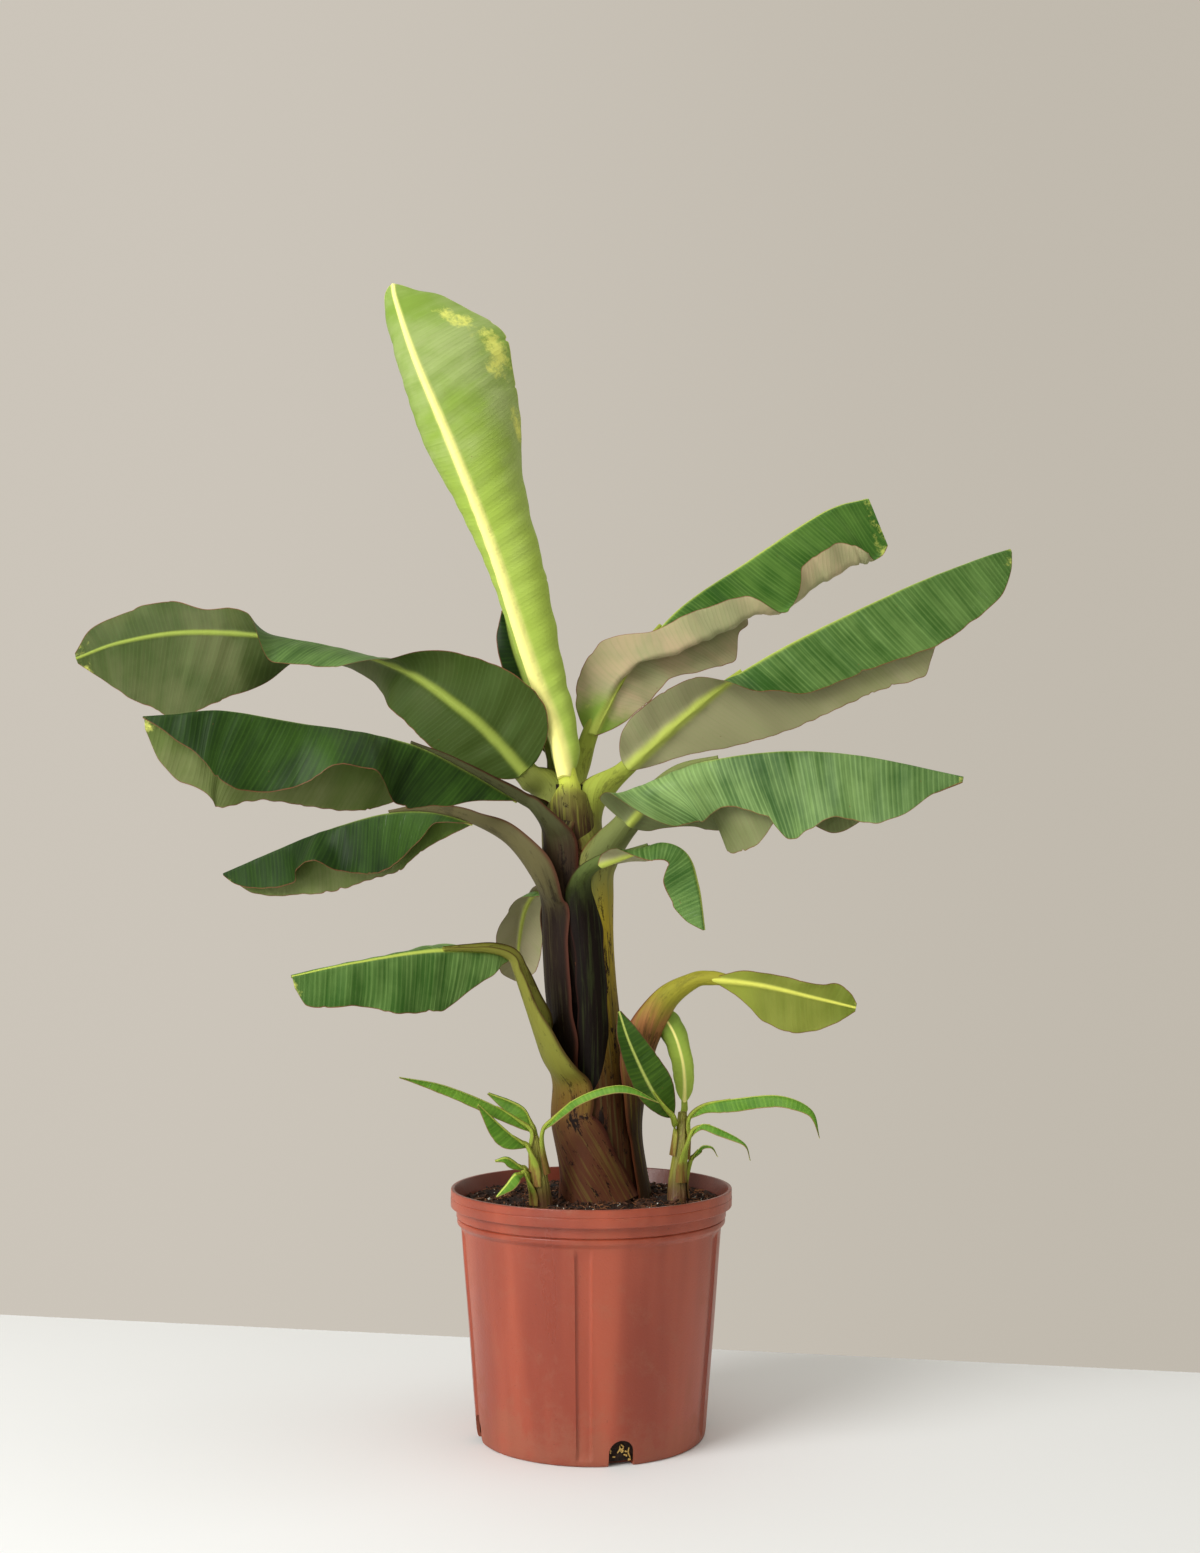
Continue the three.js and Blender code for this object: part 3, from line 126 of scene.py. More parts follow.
LEFT_SUCKER = dict(stem="left_sucker_stem", petiole_radius=2.6)
RIGHT_SUCKER = dict(stem="right_sucker_stem", petiole_radius=2.6)
LEAVES = {
    "leaf_upright": leaf_row(
        azimuth=-100, hug=(370, 400), petiole_radius=9,
        rib=[
            (-27, -16, 414), (-39, -12, 464), (-64, -12, 532), (-102, -16, 649), (-142, -22, 752),
            (-180, -20, 843), (-201, -8, 906), (-206, 0, 928),
        ],
        near=[
            (0, 34, 80, 130), (0.15, 55, 85, 115), (0.35, 78, 90, 100), (0.55, 90, 92, 85),
            (0.7, 100, 92, 55), (0.84, 106, 92, 35), (0.93, 70, 92, 30), (0.98, 30, 95, 20),
            (1, 4, 95),
        ],
        far=[
            (0, 30, 225, -70), (0.15, 46, 205, -60), (0.35, 58, 205, -50), (0.55, 72, 218, -65),
            (0.7, 80, 232, -80), (0.84, 64, 228, -70), (0.93, 42, 228, -50), (0.98, 18, 240, -30),
            (1, 4, 260),
        ],
    ),
    "leaf_narrow": leaf_row(
        azimuth=100, hug=(330, 392), petiole_radius=6,
        petiole=[(-36, 30, 424)],
        rib=[(-40, 34, 440), (-59, 40, 495), (-81, 46, 553), (-92, 50, 596)],
        near=[(0, 12, -60, -20), (0.4, 20, -70, -20), (0.8, 16, -80, -10), (1, 3, -80)],
        far=[(0, 12, 60, 20), (0.4, 26, 80, 20), (0.8, 18, 90, 10), (1, 3, 90)],
    ),
    "leaf_left_high": leaf_row(
        azimuth=190, hug=(330, 380), soft=0.3,
        petiole=[(-50, -8, 400)],
        rib=[
            (-66, -20, 418), (-95, -21, 451), (-129, -20, 482), (-199, 0, 530), (-303, 35, 562),
            (-420, 60, 574), (-499, 75, 566), (-551, 85, 550),
        ],
        near=[
            (0, 52, 82, 10), (0.1, 62, 80, 10), (0.22, 48, 70, -10), (0.32, 30, 10, -20),
            (0.4, 50, -20, -25), (0.54, 52, -30, -20), (0.64, 30, 45), (0.73, 25, 92),
            (0.81, 38, 98, 12), (0.9, 34, 98, 12), (0.97, 20, 98, 10), (1, 6, 98),
        ],
        far=[
            (0, 30, 262, -10), (0.15, 50, 262, -5), (0.28, 44, 262, -5), (0.4, 36, 225, -20),
            (0.55, 44, 215, -30), (0.66, 64, 262, -5), (0.8, 90, 265), (0.88, 70, 265),
            (0.95, 42, 262), (1, 6, 260),
        ],
    ),
    "leaf_left_mid": leaf_row(
        azimuth=215, hug=(290, 356),
        petiole=[(-57, -33, 380)],
        rib=[
            (-71, -40, 390), (-123, -75, 419), (-177, -105, 442), (-272, -140, 456), (-341, -155, 466),
            (-384, -160, 462), (-413, -160, 460),
        ],
        near=[
            (0, 8, -60, -10), (0.1, 22, -75, -10), (0.2, 46, -82, -10), (0.3, 62, -85, -5),
            (0.38, 60, -70, -5), (0.45, 52, -35, -20), (0.53, 52, -38, -20), (0.62, 66, -72, -10),
            (0.72, 74, -85), (0.82, 64, -85), (0.9, 36, -85), (0.96, 14, -85), (1, 4, -85),
        ],
        far=[
            (0, 8, 230, 10), (0.2, 34, 240, 10), (0.35, 68, 252, 8), (0.5, 78, 258, 4),
            (0.65, 78, 262), (0.8, 92, 265), (0.9, 72, 265), (0.97, 44, 265), (1, 14, 265),
        ],
    ),
    "leaf_left_low": leaf_row(
        azimuth=200, hug=(150, 290), layer=1,
        petiole=[(-60, -30, 320), (-84, -28, 350)],
        rib=[(-118, -10, 370), (-165, 20, 383), (-225, 55, 381), (-311, 95, 356), (-398, 125, 322)],
        near=[
            (0, 10, -60, -10), (0.13, 14, -75, -5), (0.2, 34, -82, -5), (0.3, 54, -85, -5),
            (0.42, 62, -85, -5), (0.55, 52, -70, -5), (0.62, 42, -40, -10), (0.7, 40, -55, -5),
            (0.78, 42, -85), (0.9, 32, -85), (0.97, 18, -85), (1, 5, -85),
        ],
        far=[
            (0, 10, 235, 10), (0.2, 40, 250, 8), (0.4, 66, 262), (0.6, 66, 264), (0.8, 54, 264),
            (0.93, 36, 264), (1, 6, 264),
        ],
    ),
    "leaf_left_small": leaf_row(
        azimuth=210, hug=(4, 110), layer=1, petiole_radius=7,
        petiole=[(-47, -36, 140), (-62, -56, 190), (-72, -68, 222)],
        rib=[
            (-78, -76, 236), (-96, -90, 243), (-150, -125, 244), (-220, -160, 233), (-270, -175, 222),
        ],
        near=[
            (0, 12, -50, -10), (0.2, 36, -70, -10), (0.4, 58, -75, -10), (0.6, 56, -72, -10),
            (0.75, 42, -72, -10), (0.9, 36, -80), (0.97, 30, -80), (1, 12, -80),
        ],
        far=[
            (0, 12, 190, 20), (0.3, 50, 165, 40), (0.6, 52, 180, 40), (0.9, 30, 190, 30),
            (1, 10, 190, 20),
        ],
    ),
    "leaf_back": leaf_row(
        azimuth=125, hug=(150, 250), layer=1, petiole_radius=6, front=(-1, 0, 0),
        petiole=[(-42, 46, 278)],
        rib=[(-45, 55, 298), (-58, 78, 302), (-72, 110, 282), (-80, 140, 240), (-80, 150, 205)],
        near=[
            (0, 8, -20, -20), (0.3, 30, -30, -20), (0.6, 34, -40, -10), (0.9, 26, -40, -10),
            (1, 4, -40),
        ],
        far=[(0, 8, 200, 20), (0.3, 30, 215, 20), (0.6, 34, 220, 10), (0.9, 26, 220), (1, 4, 220)],
    ),
    "leaf_right_high": leaf_row(
        azimuth=50, hug=(330, 388), side=-1, soft=0.1,
        petiole=[(-8, 19, 420)],
        rib=[
            (0, 26, 460), (15, 38, 492), (34, 55, 530), (89, 85, 601), (166, 120, 660),
            (258, 150, 724), (309, 165, 743),
        ],
        near=[
            (0, 18, 40, 80, 0.2), (0.1, 42, 0, 110, 0.15), (0.2, 58, -60, 160, 0.2),
            (0.3, 78, -85, 180), (0.45, 92, -88, 180, 0.62), (0.55, 84, -88, 170, 0.7),
            (0.62, 78, -88, 90, 0.93), (0.72, 100, -88, 165, 0.7), (0.82, 108, -88, 165, 0.68),
            (0.92, 88, -88, 150, 0.85), (0.98, 72, -88, 60, 0.95), (1, 60, -88, 0, 0.95),
        ],
        far=[
            (0, 8, 262), (0.08, 26, 262), (0.16, 40, 262), (0.24, 44, 262), (0.34, 70, 262),
            (0.45, 84, 262), (0.52, 62, 262), (0.6, 60, 235), (0.8, 60, 220), (0.95, 50, 220),
            (1, 40, 220),
        ],
    ),
    "leaf_right_top": leaf_row(
        azimuth=-10, hug=(320, 376), side=-1,
        petiole=[(14, -8, 402)],
        rib=[
            (36, -5, 424), (91, -25, 473), (140, -40, 512), (199, -50, 547), (308, -55, 599),
            (382, -50, 629), (417, -45, 641),
        ],
        near=[
            (0, 26, 70), (0.12, 38, 65), (0.25, 34, 40), (0.3, 30, 0), (0.36, 36, -60, -10),
            (0.45, 56, -85, -5), (0.6, 62, -85, -5), (0.75, 68, -85, -5), (0.86, 58, -85, -5),
            (0.94, 44, -85), (0.985, 22, -85), (1, 6, -85),
        ],
        far=[
            (0, 8, 258, 5), (0.1, 26, 260, 5), (0.25, 62, 262), (0.4, 80, 262), (0.6, 84, 264),
            (0.7, 90, 264), (0.76, 68, 264), (0.85, 50, 258), (0.95, 34, 250), (1, 6, 250),
        ],
    ),
    "leaf_right_mid": leaf_row(
        azimuth=-35, hug=(4, 290), side=-1, soft=0.3,
        petiole=[(11, -30, 318), (20, -46, 342)],
        rib=[
            (36, -62, 364), (70, -85, 402), (103, -105, 422), (177, -140, 430), (250, -165, 423),
            (337, -190, 402),
        ],
        near=[
            (0, 36, 75, 0, 0.4), (0.07, 54, 78, -60, 0.4), (0.14, 80, 60, -150, 0.3),
            (0.24, 70, -10, -80, 0.3), (0.34, 50, -75, -20, 0.4), (0.46, 62, -80, -10),
            (0.56, 86, -85, -5), (0.63, 76, -80, -5), (0.7, 64, -75, -5), (0.8, 64, -80),
            (0.88, 50, -80), (0.94, 24, -80), (1, 8, -80),
        ],
        far=[
            (0, 14, 255), (0.12, 48, 262), (0.22, 80, 264), (0.32, 94, 264), (0.42, 88, 264),
            (0.5, 66, 262), (0.6, 70, 262), (0.68, 76, 262), (0.8, 50, 255), (0.95, 20, 250),
            (1, 8, 250),
        ],
    ),
    "leaf_curled": leaf_row(
        azimuth=-75, hug=(190, 300), side=-1, layer=1, petiole_radius=6,
        petiole=[(-3, -47, 316)],
        rib=[
            (9, -60, 326), (39, -85, 336), (69, -105, 346), (92, -115, 334), (102, -118, 302),
            (107, -118, 263),
        ],
        near=[
            (0, 12, 60), (0.2, 22, 35, -20), (0.4, 28, -20, -40), (0.55, 22, -60, -20),
            (0.7, 34, -100, -20), (0.85, 32, -120), (0.94, 20, -120), (1, 3, -120),
        ],
        far=[
            (0, 12, 190), (0.25, 24, 205, 20), (0.5, 38, 225, 20), (0.75, 28, 240, 20),
            (0.92, 18, 250, 10), (1, 3, 250),
        ],
    ),
    "leaf_right_small": leaf_row(
        azimuth=-5, hug=(2, 60), side=-1, layer=1, petiole_radius=6,
        petiole=[(50, -18, 95), (58, -30, 150), (75, -42, 191), (100, -56, 212)],
        rib=[(117, -62, 215), (163, -80, 210), (212, -95, 199), (250, -105, 190)],
        near=[
            (0, 8, 70), (0.25, 14, 68), (0.5, 13, 68), (0.75, 15, 70), (0.85, 18, 80), (0.95, 12, 80),
            (1, 4, 80),
        ],
        far=[
            (0, 8, 262), (0.2, 18, 262), (0.4, 34, 264), (0.6, 38, 264), (0.75, 32, 264),
            (0.9, 18, 264), (1, 4, 264),
        ],
    ),
    "left_sucker_leaf_1": leaf_row(
        **LEFT_SUCKER, azimuth=192, hug=(32, 55),
        rib=[(-58, -68, 70), (-87, -78, 93), (-138, -95, 116), (-180, -105, 125)],
        near=[(0, 4, -60), (0.3, 12, -70), (0.7, 10, -70), (1, 2, -70)],
        far=[(0, 4, 230), (0.3, 10, 230), (0.7, 9, 230), (1, 2, 230)],
    ),
    "left_sucker_leaf_2": leaf_row(
        **LEFT_SUCKER, azimuth=105, hug=(26, 52),
        rib=[(-56, -58, 70), (-67, -46, 90), (-101, -34, 103)],
        near=[(0, 4, -60), (0.4, 15, -80), (1, 2, -80)],
        far=[(0, 4, 210), (0.4, 10, 200), (1, 2, 200)],
    ),
    "left_sucker_leaf_3": leaf_row(
        **LEFT_SUCKER, azimuth=240, hug=(18, 36),
        rib=[(-61, -76, 56), (-83, -90, 76), (-106, -100, 99)],
        near=[(0, 4, -60), (0.4, 16, -80), (1, 3, -80)],
        far=[(0, 4, 220), (0.4, 10, 220), (1, 3, 220)],
    ),
    "left_sucker_leaf_4": leaf_row(
        **LEFT_SUCKER, azimuth=-30, hug=(30, 54), side=-1,
        rib=[(-45, -70, 72), (-15, -80, 102), (29, -92, 116), (64, -100, 101)],
        near=[(0, 4, -60), (0.3, 9, -70), (0.7, 9, -70), (1, 2, -70)],
        far=[(0, 4, 240), (0.3, 8, 240), (0.7, 8, 240), (1, 2, 240)],
    ),
    "left_sucker_leaf_5": leaf_row(
        **LEFT_SUCKER, azimuth=215, hug=(0, 12),
        rib=[(-63, -72, 30), (-72, -80, 31), (-80, -86, 22), (-89, -90, 12)],
        near=[(0, 4, -60), (0.5, 10, -75), (1, 2, -75)],
        far=[(0, 4, 200), (0.5, 8, 200), (1, 2, 200)],
    ),
    "left_sucker_leaf_6": leaf_row(
        **LEFT_SUCKER, azimuth=165, hug=(0, 14),
        rib=[(-64, -58, 32), (-80, -64, 44), (-92, -66, 42)],
        near=[(0, 4, -60), (0.5, 8, -75), (1, 2, -75)],
        far=[(0, 4, 200), (0.5, 6, 200), (1, 2, 200)],
    ),
    "right_sucker_leaf_1": leaf_row(
        **RIGHT_SUCKER, azimuth=205, hug=(42, 66),
        rib=[(80, -36, 80), (59, -52, 108), (38, -62, 152), (27, -62, 184)],
        near=[(0, 6, -60), (0.35, 15, -80), (0.8, 10, -80), (1, 2, -80)],
        far=[(0, 5, 60), (0.35, 23, 75), (0.8, 13, 80), (1, 2, 80)],
    ),
    "right_sucker_leaf_2": leaf_row(
        **RIGHT_SUCKER, azimuth=60, hug=(54, 76),
        rib=[(92, -20, 92), (92, -24, 115), (89, -27, 138), (80, -28, 164), (63, -24, 188)],
        near=[(0, 6, 80, 60), (0.35, 20, 85, 120), (0.7, 19, 85, 90), (1, 2, 85)],
        far=[(0, 6, 280, -60), (0.35, 21, 275, -120), (0.7, 20, 275, -90), (1, 2, 275)],
    ),
    "right_sucker_leaf_3": leaf_row(
        **RIGHT_SUCKER, azimuth=-15, hug=(38, 60), side=-1,
        rib=[
            (97, -30, 78), (112, -38, 92), (139, -50, 99), (181, -70, 104), (210, -82, 92),
            (217, -86, 66),
        ],
        near=[(0, 4, -60), (0.3, 14, -75), (0.7, 12, -75), (1, 2, -75)],
        far=[(0, 4, 240), (0.3, 12, 240), (0.7, 10, 240), (1, 2, 240)],
    ),
    "right_sucker_leaf_4": leaf_row(
        **RIGHT_SUCKER, azimuth=-65, hug=(16, 34), side=-1,
        rib=[(97, -42, 62), (108, -44, 74), (126, -55, 70), (147, -70, 59), (152, -76, 44)],
        near=[(0, 4, -60), (0.4, 9, -70), (1, 2, -70)],
        far=[(0, 4, 240), (0.4, 8, 240), (1, 2, 240)],
    ),
    "right_sucker_leaf_5": leaf_row(
        **RIGHT_SUCKER, azimuth=20, hug=(0, 14), side=-1,
        rib=[(99, -20, 36), (108, -26, 50), (118, -36, 51), (123, -42, 43)],
        near=[(0, 3, -60), (0.4, 6, -70), (1, 2, -70)],
        far=[(0, 3, 240), (0.4, 5, 240), (1, 2, 240)],
    ),
}


# ------------------------------------------------------------------ curves and numbers
def smooth(x):
    """0 up to 0, 1 from 1 on, and 3x^2 - 2x^3 between them."""
    t = np.clip(x, 0, 1)
    return t * t * (3 - 2 * t)


def column(rows, index, x):
    """One column of a table, read along its first column by a cubic that never overshoots: the
    slope at each row is the weighted harmonic mean of its neighbours' slopes, or 0 at a turn."""
    table = np.array(rows, float)
    place, value = table[:, 0], table[:, index]
    step = np.diff(place)
    slope = np.diff(value) / step
    before, after = slope[:-1], slope[1:]
    rising = before * after > 0
    a, b = 2 * step[1:] + step[:-1], step[1:] + 2 * step[:-1]
    ratio = np.divide(a, before, where=rising, out=np.ones_like(a))
    ratio += np.divide(b, after, where=rising, out=np.ones_like(b))
    tangent = np.concatenate([slope[:1], np.where(rising, (a + b) / ratio, 0), slope[-1:]])
    k = np.clip(np.searchsorted(place, x) - 1, 0, len(place) - 2)
    t = np.clip((x - place[k]) / step[k], 0, 1)
    return (
        (1 + 2 * t) * (1 - t) ** 2 * value[k]
        + t * (1 - t) ** 2 * step[k] * tangent[k]
        + t * t * (3 - 2 * t) * value[k + 1]
        + t * t * (t - 1) * step[k] * tangent[k + 1]
    )


def curve_through(points, shares):
    """Points and unit tangents at shares of the length of the Catmull-Rom curve through `points`,
    its length, and the share at each of its points: each span is the cubic whose end slopes are
    half the chord between a point's neighbours."""
    p = np.array(points, float)
    p = np.vstack([2 * p[0] - p[1], p, 2 * p[-1] - p[-2]])
    t = np.linspace(0, 1, 80, endpoint=False)[None, :, None]
    a, b, c, d = (p[i : len(p) - 3 + i, None] for i in range(4))
    line = b + (c - a) * t / 2 + (2 * a - 5 * b + 4 * c - d) * t**2 / 2
    line = line + (3 * b - a - 3 * c + d) * t**3 / 2
    line = np.vstack([line.reshape(-1, 3), p[-2]])
    run = np.concatenate([[0], np.cumsum(np.linalg.norm(np.diff(line, axis=0), axis=1))])
    slope = np.gradient(line, run, axis=0)
    at = np.asarray(shares) * run[-1]
    place = np.stack([np.interp(at, run, line[:, i]) for i in range(3)], -1)
    tangent = np.stack([np.interp(at, run, slope[:, i]) for i in range(3)], -1)
    return place, unit(tangent), run[-1], run[:: t.size] / run[-1]


def unit(v):
    """The vectors divided by their lengths."""
    return v / np.maximum(np.linalg.norm(v, axis=-1, keepdims=True), 1e-12)


def square_to(v, tangent):
    """The unit part of v at right angles to the tangent."""
    return unit(v - tangent * np.sum(v * tangent, axis=-1, keepdims=True))


def waves(x, length, seed, y=None, count=6):
    """A smooth random value from about -1 to 1: a sum of sines whose lengths scatter about
    `length`, over x alone or in scattered directions over x and y."""
    rng = np.random.default_rng(seed)
    total = 0
    for _ in range(count):
        rate = 2 * math.pi / length * rng.uniform(0.6, 1.7)
        heading = rng.uniform(0, 2 * math.pi) if y is not None else 0
        phase = rng.uniform(0, 2 * math.pi)
        across = 0 if y is None else y * math.sin(heading)
        total = total + np.sin(rate * (x * math.cos(heading) + across) + phase)
    return total / math.sqrt(count) * 0.8


def round_angles(count):
    """Angles evenly round a full turn, the first of them 0."""
    return np.linspace(0, 2 * math.pi, count, endpoint=False)


def around(radius, angle, z):
    """Points at a radius and an angle about the axis, at height z."""
    return np.stack([radius * np.cos(angle), radius * np.sin(angle), z], -1)


def above_soil(points):
    """Points given in mm above the soil, in metres in the CAD frame."""
    return points * MM + [0, 0, SOIL_LEVEL]


# ------------------------------------------------------------------ meshes
def placed(name, data):
    """A new object that holds the data, in the scene."""
    made = bpy.data.objects.new(name, data)
    bpy.context.scene.collection.objects.link(made)
    return made


def grid_faces(rows, columns, start=0, closed=False):
    """Quads between the points of a rows x columns grid, whose last column may meet its first."""
    i, j = np.meshgrid(np.arange(rows - 1), np.arange(columns - (not closed)), indexing="ij")
    a = start + i * columns + j
    b = start + i * columns + (j + 1) % columns
    return np.stack([a, b, b + columns, a + columns], -1).reshape(-1, 4)


def outward(vertices, faces):
    """The faces of a closed surface, turned round together if their volume comes out negative."""
    a, b, c, d = (vertices[faces[:, i]] for i in range(4))
    volume = np.sum(a * np.cross(b, c)) + np.sum(a * np.cross(c, d))
    if volume > 0:
        return faces
    triangle = (faces[:, 2] == faces[:, 3])[:, None]
    return np.where(triangle, faces[:, [1, 0, 2, 3]], faces[:, ::-1])


def add_piece(name, vertices, faces, material, slot, uv=None, values=None, angle=50):
    """A mesh object in metres that rides the plant. A quad whose corners repeat is a triangle."""
    vertices = np.asarray(vertices, float)
    faces = np.asarray(faces)
    triangle = faces[:, 2] == faces[:, 3]
    size = np.where(triangle, 3, 4)
    keep = np.ones(faces.shape, bool)
    keep[triangle, 3] = False
    corners = faces[keep]
    mesh = bpy.data.meshes.new(name)
    mesh.vertices.add(len(vertices))
    mesh.loops.add(len(corners))
    mesh.polygons.add(len(faces))
    mesh.vertices.foreach_set("co", vertices.astype(np.float32).ravel())
    mesh.loops.foreach_set("vertex_index", corners.astype(np.int32))
    starts = np.concatenate([[0], np.cumsum(size)[:-1]])
    mesh.polygons.foreach_set("loop_start", starts.astype(np.int32))
    mesh.update(calc_edges=True)
    mesh.validate()
    mesh.polygons.foreach_set("use_smooth", np.ones(len(mesh.polygons), bool))
    mesh.set_sharp_from_angle(angle=math.radians(angle))
    if uv is not None:
        layer = mesh.uv_layers.new(name="surface")
        layer.data.foreach_set("uv", np.asarray(uv, np.float32)[corners].ravel())
    for key, value in (values or {}).items():
        attribute = mesh.attributes.new(key, "FLOAT", "POINT")
        attribute.data.foreach_set("value", np.asarray(value, np.float32).ravel())
    mesh.materials.append(material)
    piece = placed(name, mesh)
    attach(piece, "root")
    return piece


def closed_sheet(upper, lower):
    """The closed surface between two grids of points, joined round their border."""
    rows, columns = upper.shape[:2]
    count = rows * columns
    index = np.arange(count).reshape(rows, columns)
    rim = np.concatenate([index[0, :-1], index[:-1, -1], index[-1, :0:-1], index[:0:-1, 0]])
    after = np.roll(rim, -1)
    side = np.stack([rim, rim + count, after + count, after], -1)
    faces = [grid_faces(rows, columns), grid_faces(rows, columns, count)[:, ::-1], side]
    vertices = np.vstack([upper.reshape(-1, 3), lower.reshape(-1, 3)])
    return vertices, outward(vertices, np.vstack(faces))


def add_sheet(name, upper, lower, along, out, values, material, slot):
    """A closed sheet between two grids in mm above the soil. Its map holds metres along and out,
    and each value is one grid for both faces, or a pair of them, the upper face's first."""
    vertices, faces = closed_sheet(upper, lower)
    both = (2, *upper.shape[:2])
    uv = np.stack([np.broadcast_to(part * MM, both) for part in (along, out)], -1).reshape(-1, 2)
    values = {key: np.broadcast_to(value, both).ravel() for key, value in values.items()}
    return add_piece(name, above_soil(vertices), faces, material, slot, uv, values)


def joined(surfaces):
    """Several surfaces as one: their points in a row, and faces that count on from each other."""
    starts = np.cumsum([0] + [len(points) for points, _ in surfaces])
    faces = [quads + start for (_, quads), start in zip(surfaces, starts)]
    return np.vstack([points for points, _ in surfaces]), np.vstack(faces)


def closed_tube(rings):
    """The closed surface through rings of points, each end drawn in to its ring's middle."""
    rows, columns = rings.shape[:2]
    ends = rings[[0, -1]].mean(axis=1)
    vertices = np.vstack([rings.reshape(-1, 3), ends])
    count = rows * columns
    j = np.arange(columns)
    k = (j + 1) % columns
    tail = (rows - 1) * columns
    first = np.stack([np.full(columns, count), k, j, j], -1)
    end = np.full(columns, count + 1)
    last = np.stack([tail + j, tail + k, end, end], -1)
    faces = np.vstack([grid_faces(rows, columns, closed=True), first, last])
    return vertices, outward(vertices, faces)


# ------------------------------------------------------------------ finishes
class Number:
    """A value socket that Python's operators work on. Each operator adds one Math node."""

    def __init__(self, recipe, socket):
        self.recipe = recipe
        self.socket = socket

    def _math(self, operation, *values):
        return self.recipe.node("ShaderNodeMath", {"operation": operation}, list(values))

    def __add__(self, other):
        return self._math("ADD", self, other)

    __radd__ = __add__

    def __mul__(self, other):
        return self._math("MULTIPLY", self, other)

    __rmul__ = __mul__

    def __sub__(self, other):
        return self._math("SUBTRACT", self, other)

    def __rsub__(self, other):
        return self._math("SUBTRACT", other, self)

    def __pow__(self, other):
        return self._math("POWER", self, other)

    def sin(self):
        return self._math("SINE", self)

    def rise(self, low, high):
        """0 at low, 1 at high and smooth between them."""
        settings = {"interpolation_type": "SMOOTHSTEP"}
        values = {"Value": self, "From Min": low, "From Max": high}
        return self.recipe.node("ShaderNodeMapRange", settings, values)


class Recipe:
    """A material with one Principled shader, and the nodes that feed it."""

    def __init__(self, name, **uniform):
        self.material = bpy.data.materials.new(name)
        self.material.use_nodes = True
        self.tree = self.material.node_tree
        self.shader = self.tree.nodes["Principled BSDF"]
        for key, value in uniform.items():
            self.shader.inputs[key.replace("_", " ")].default_value = value

    def node(self, kind, settings=None, values=None, output=0):
        """Adds a node: its settings first, then the values or links of its sockets."""
        made = self.tree.nodes.new(kind)
        for key, value in (settings or {}).items():
            setattr(made, key, value)
        pairs = values.items() if isinstance(values, dict) else enumerate(values or [])
        for key, value in pairs:
            self.feed(made.inputs[key], value)
        return Number(self, made.outputs[output])

    def feed(self, socket, value):
        if isinstance(value, Number):
            self.tree.links.new(value.socket, socket)
        else:
            socket.default_value = value

    def place(self):
        """Metres along the piece's own axes."""
        return self.node("ShaderNodeTexCoord", output=3)

    def surface(self):
        """The piece's own map: metres along it and metres across it."""
        return self.node("ShaderNodeUVMap", {"uv_map": "surface"})

    def value(self, name):
        """A number that each of the piece's points carries."""
        return self.node("ShaderNodeAttribute", {"attribute_name": name}, output=2)

    def parts(self, vector):
        """The vector's three numbers."""
        split = self.node("ShaderNodeSeparateXYZ", values=[vector]).socket.node
        return [Number(self, split.outputs[i]) for i in range(3)]

    def vector(self, x, y, z):
        return self.node("ShaderNodeCombineXYZ", values=[x, y, z])

    def noise(self, vector, scale, detail=3.0, roughness=0.55):
        """Noise from about 0.2 to 0.8."""
        values = {"Vector": vector, "Scale": scale, "Detail": detail, "Roughness": roughness}
        return self.node("ShaderNodeTexNoise", values=values)

    def mottle(self, x, y, z, detail=3.0, roughness=0.55):
        """Noise over three values of their own scales, such as a fine one across a streak."""
        return self.noise(self.vector(x, y, z), 1.0, detail, roughness)

    def blend(self, share, first, second):
        """The first colour where share is 0, and the second where it is 1."""
        first_colour, second_colour, mixed_colour = 6, 7, 2  # the Mix node's colour sockets
        values = {"Factor": share, first_colour: first, second_colour: second}
        return self.node("ShaderNodeMix", {"data_type": "RGBA"}, values, output=mixed_colour)

    def finish(self, colour, roughness=None, height=None, depth=0.0005):
        """Feeds the shader. The height raises a bump by the depth in metres."""
        self.feed(self.shader.inputs["Base Color"], colour)
        if roughness is not None:
            self.feed(self.shader.inputs["Roughness"], roughness)
        if height is not None:
            values = {"Height": height, "Distance": depth}
            self.feed(self.shader.inputs["Normal"], self.node("ShaderNodeBump", values=values))
        return self.material


def rgb(*seen):
    """A colour written 0 to 255 as seen, in the linear light that a shader works in."""
    seen = np.array(seen) / 255
    light = np.where(seen <= 0.04045, seen / 12.92, ((seen + 0.055) / 1.055) ** 2.4)
    return (*[float(x) for x in light], 1.0)


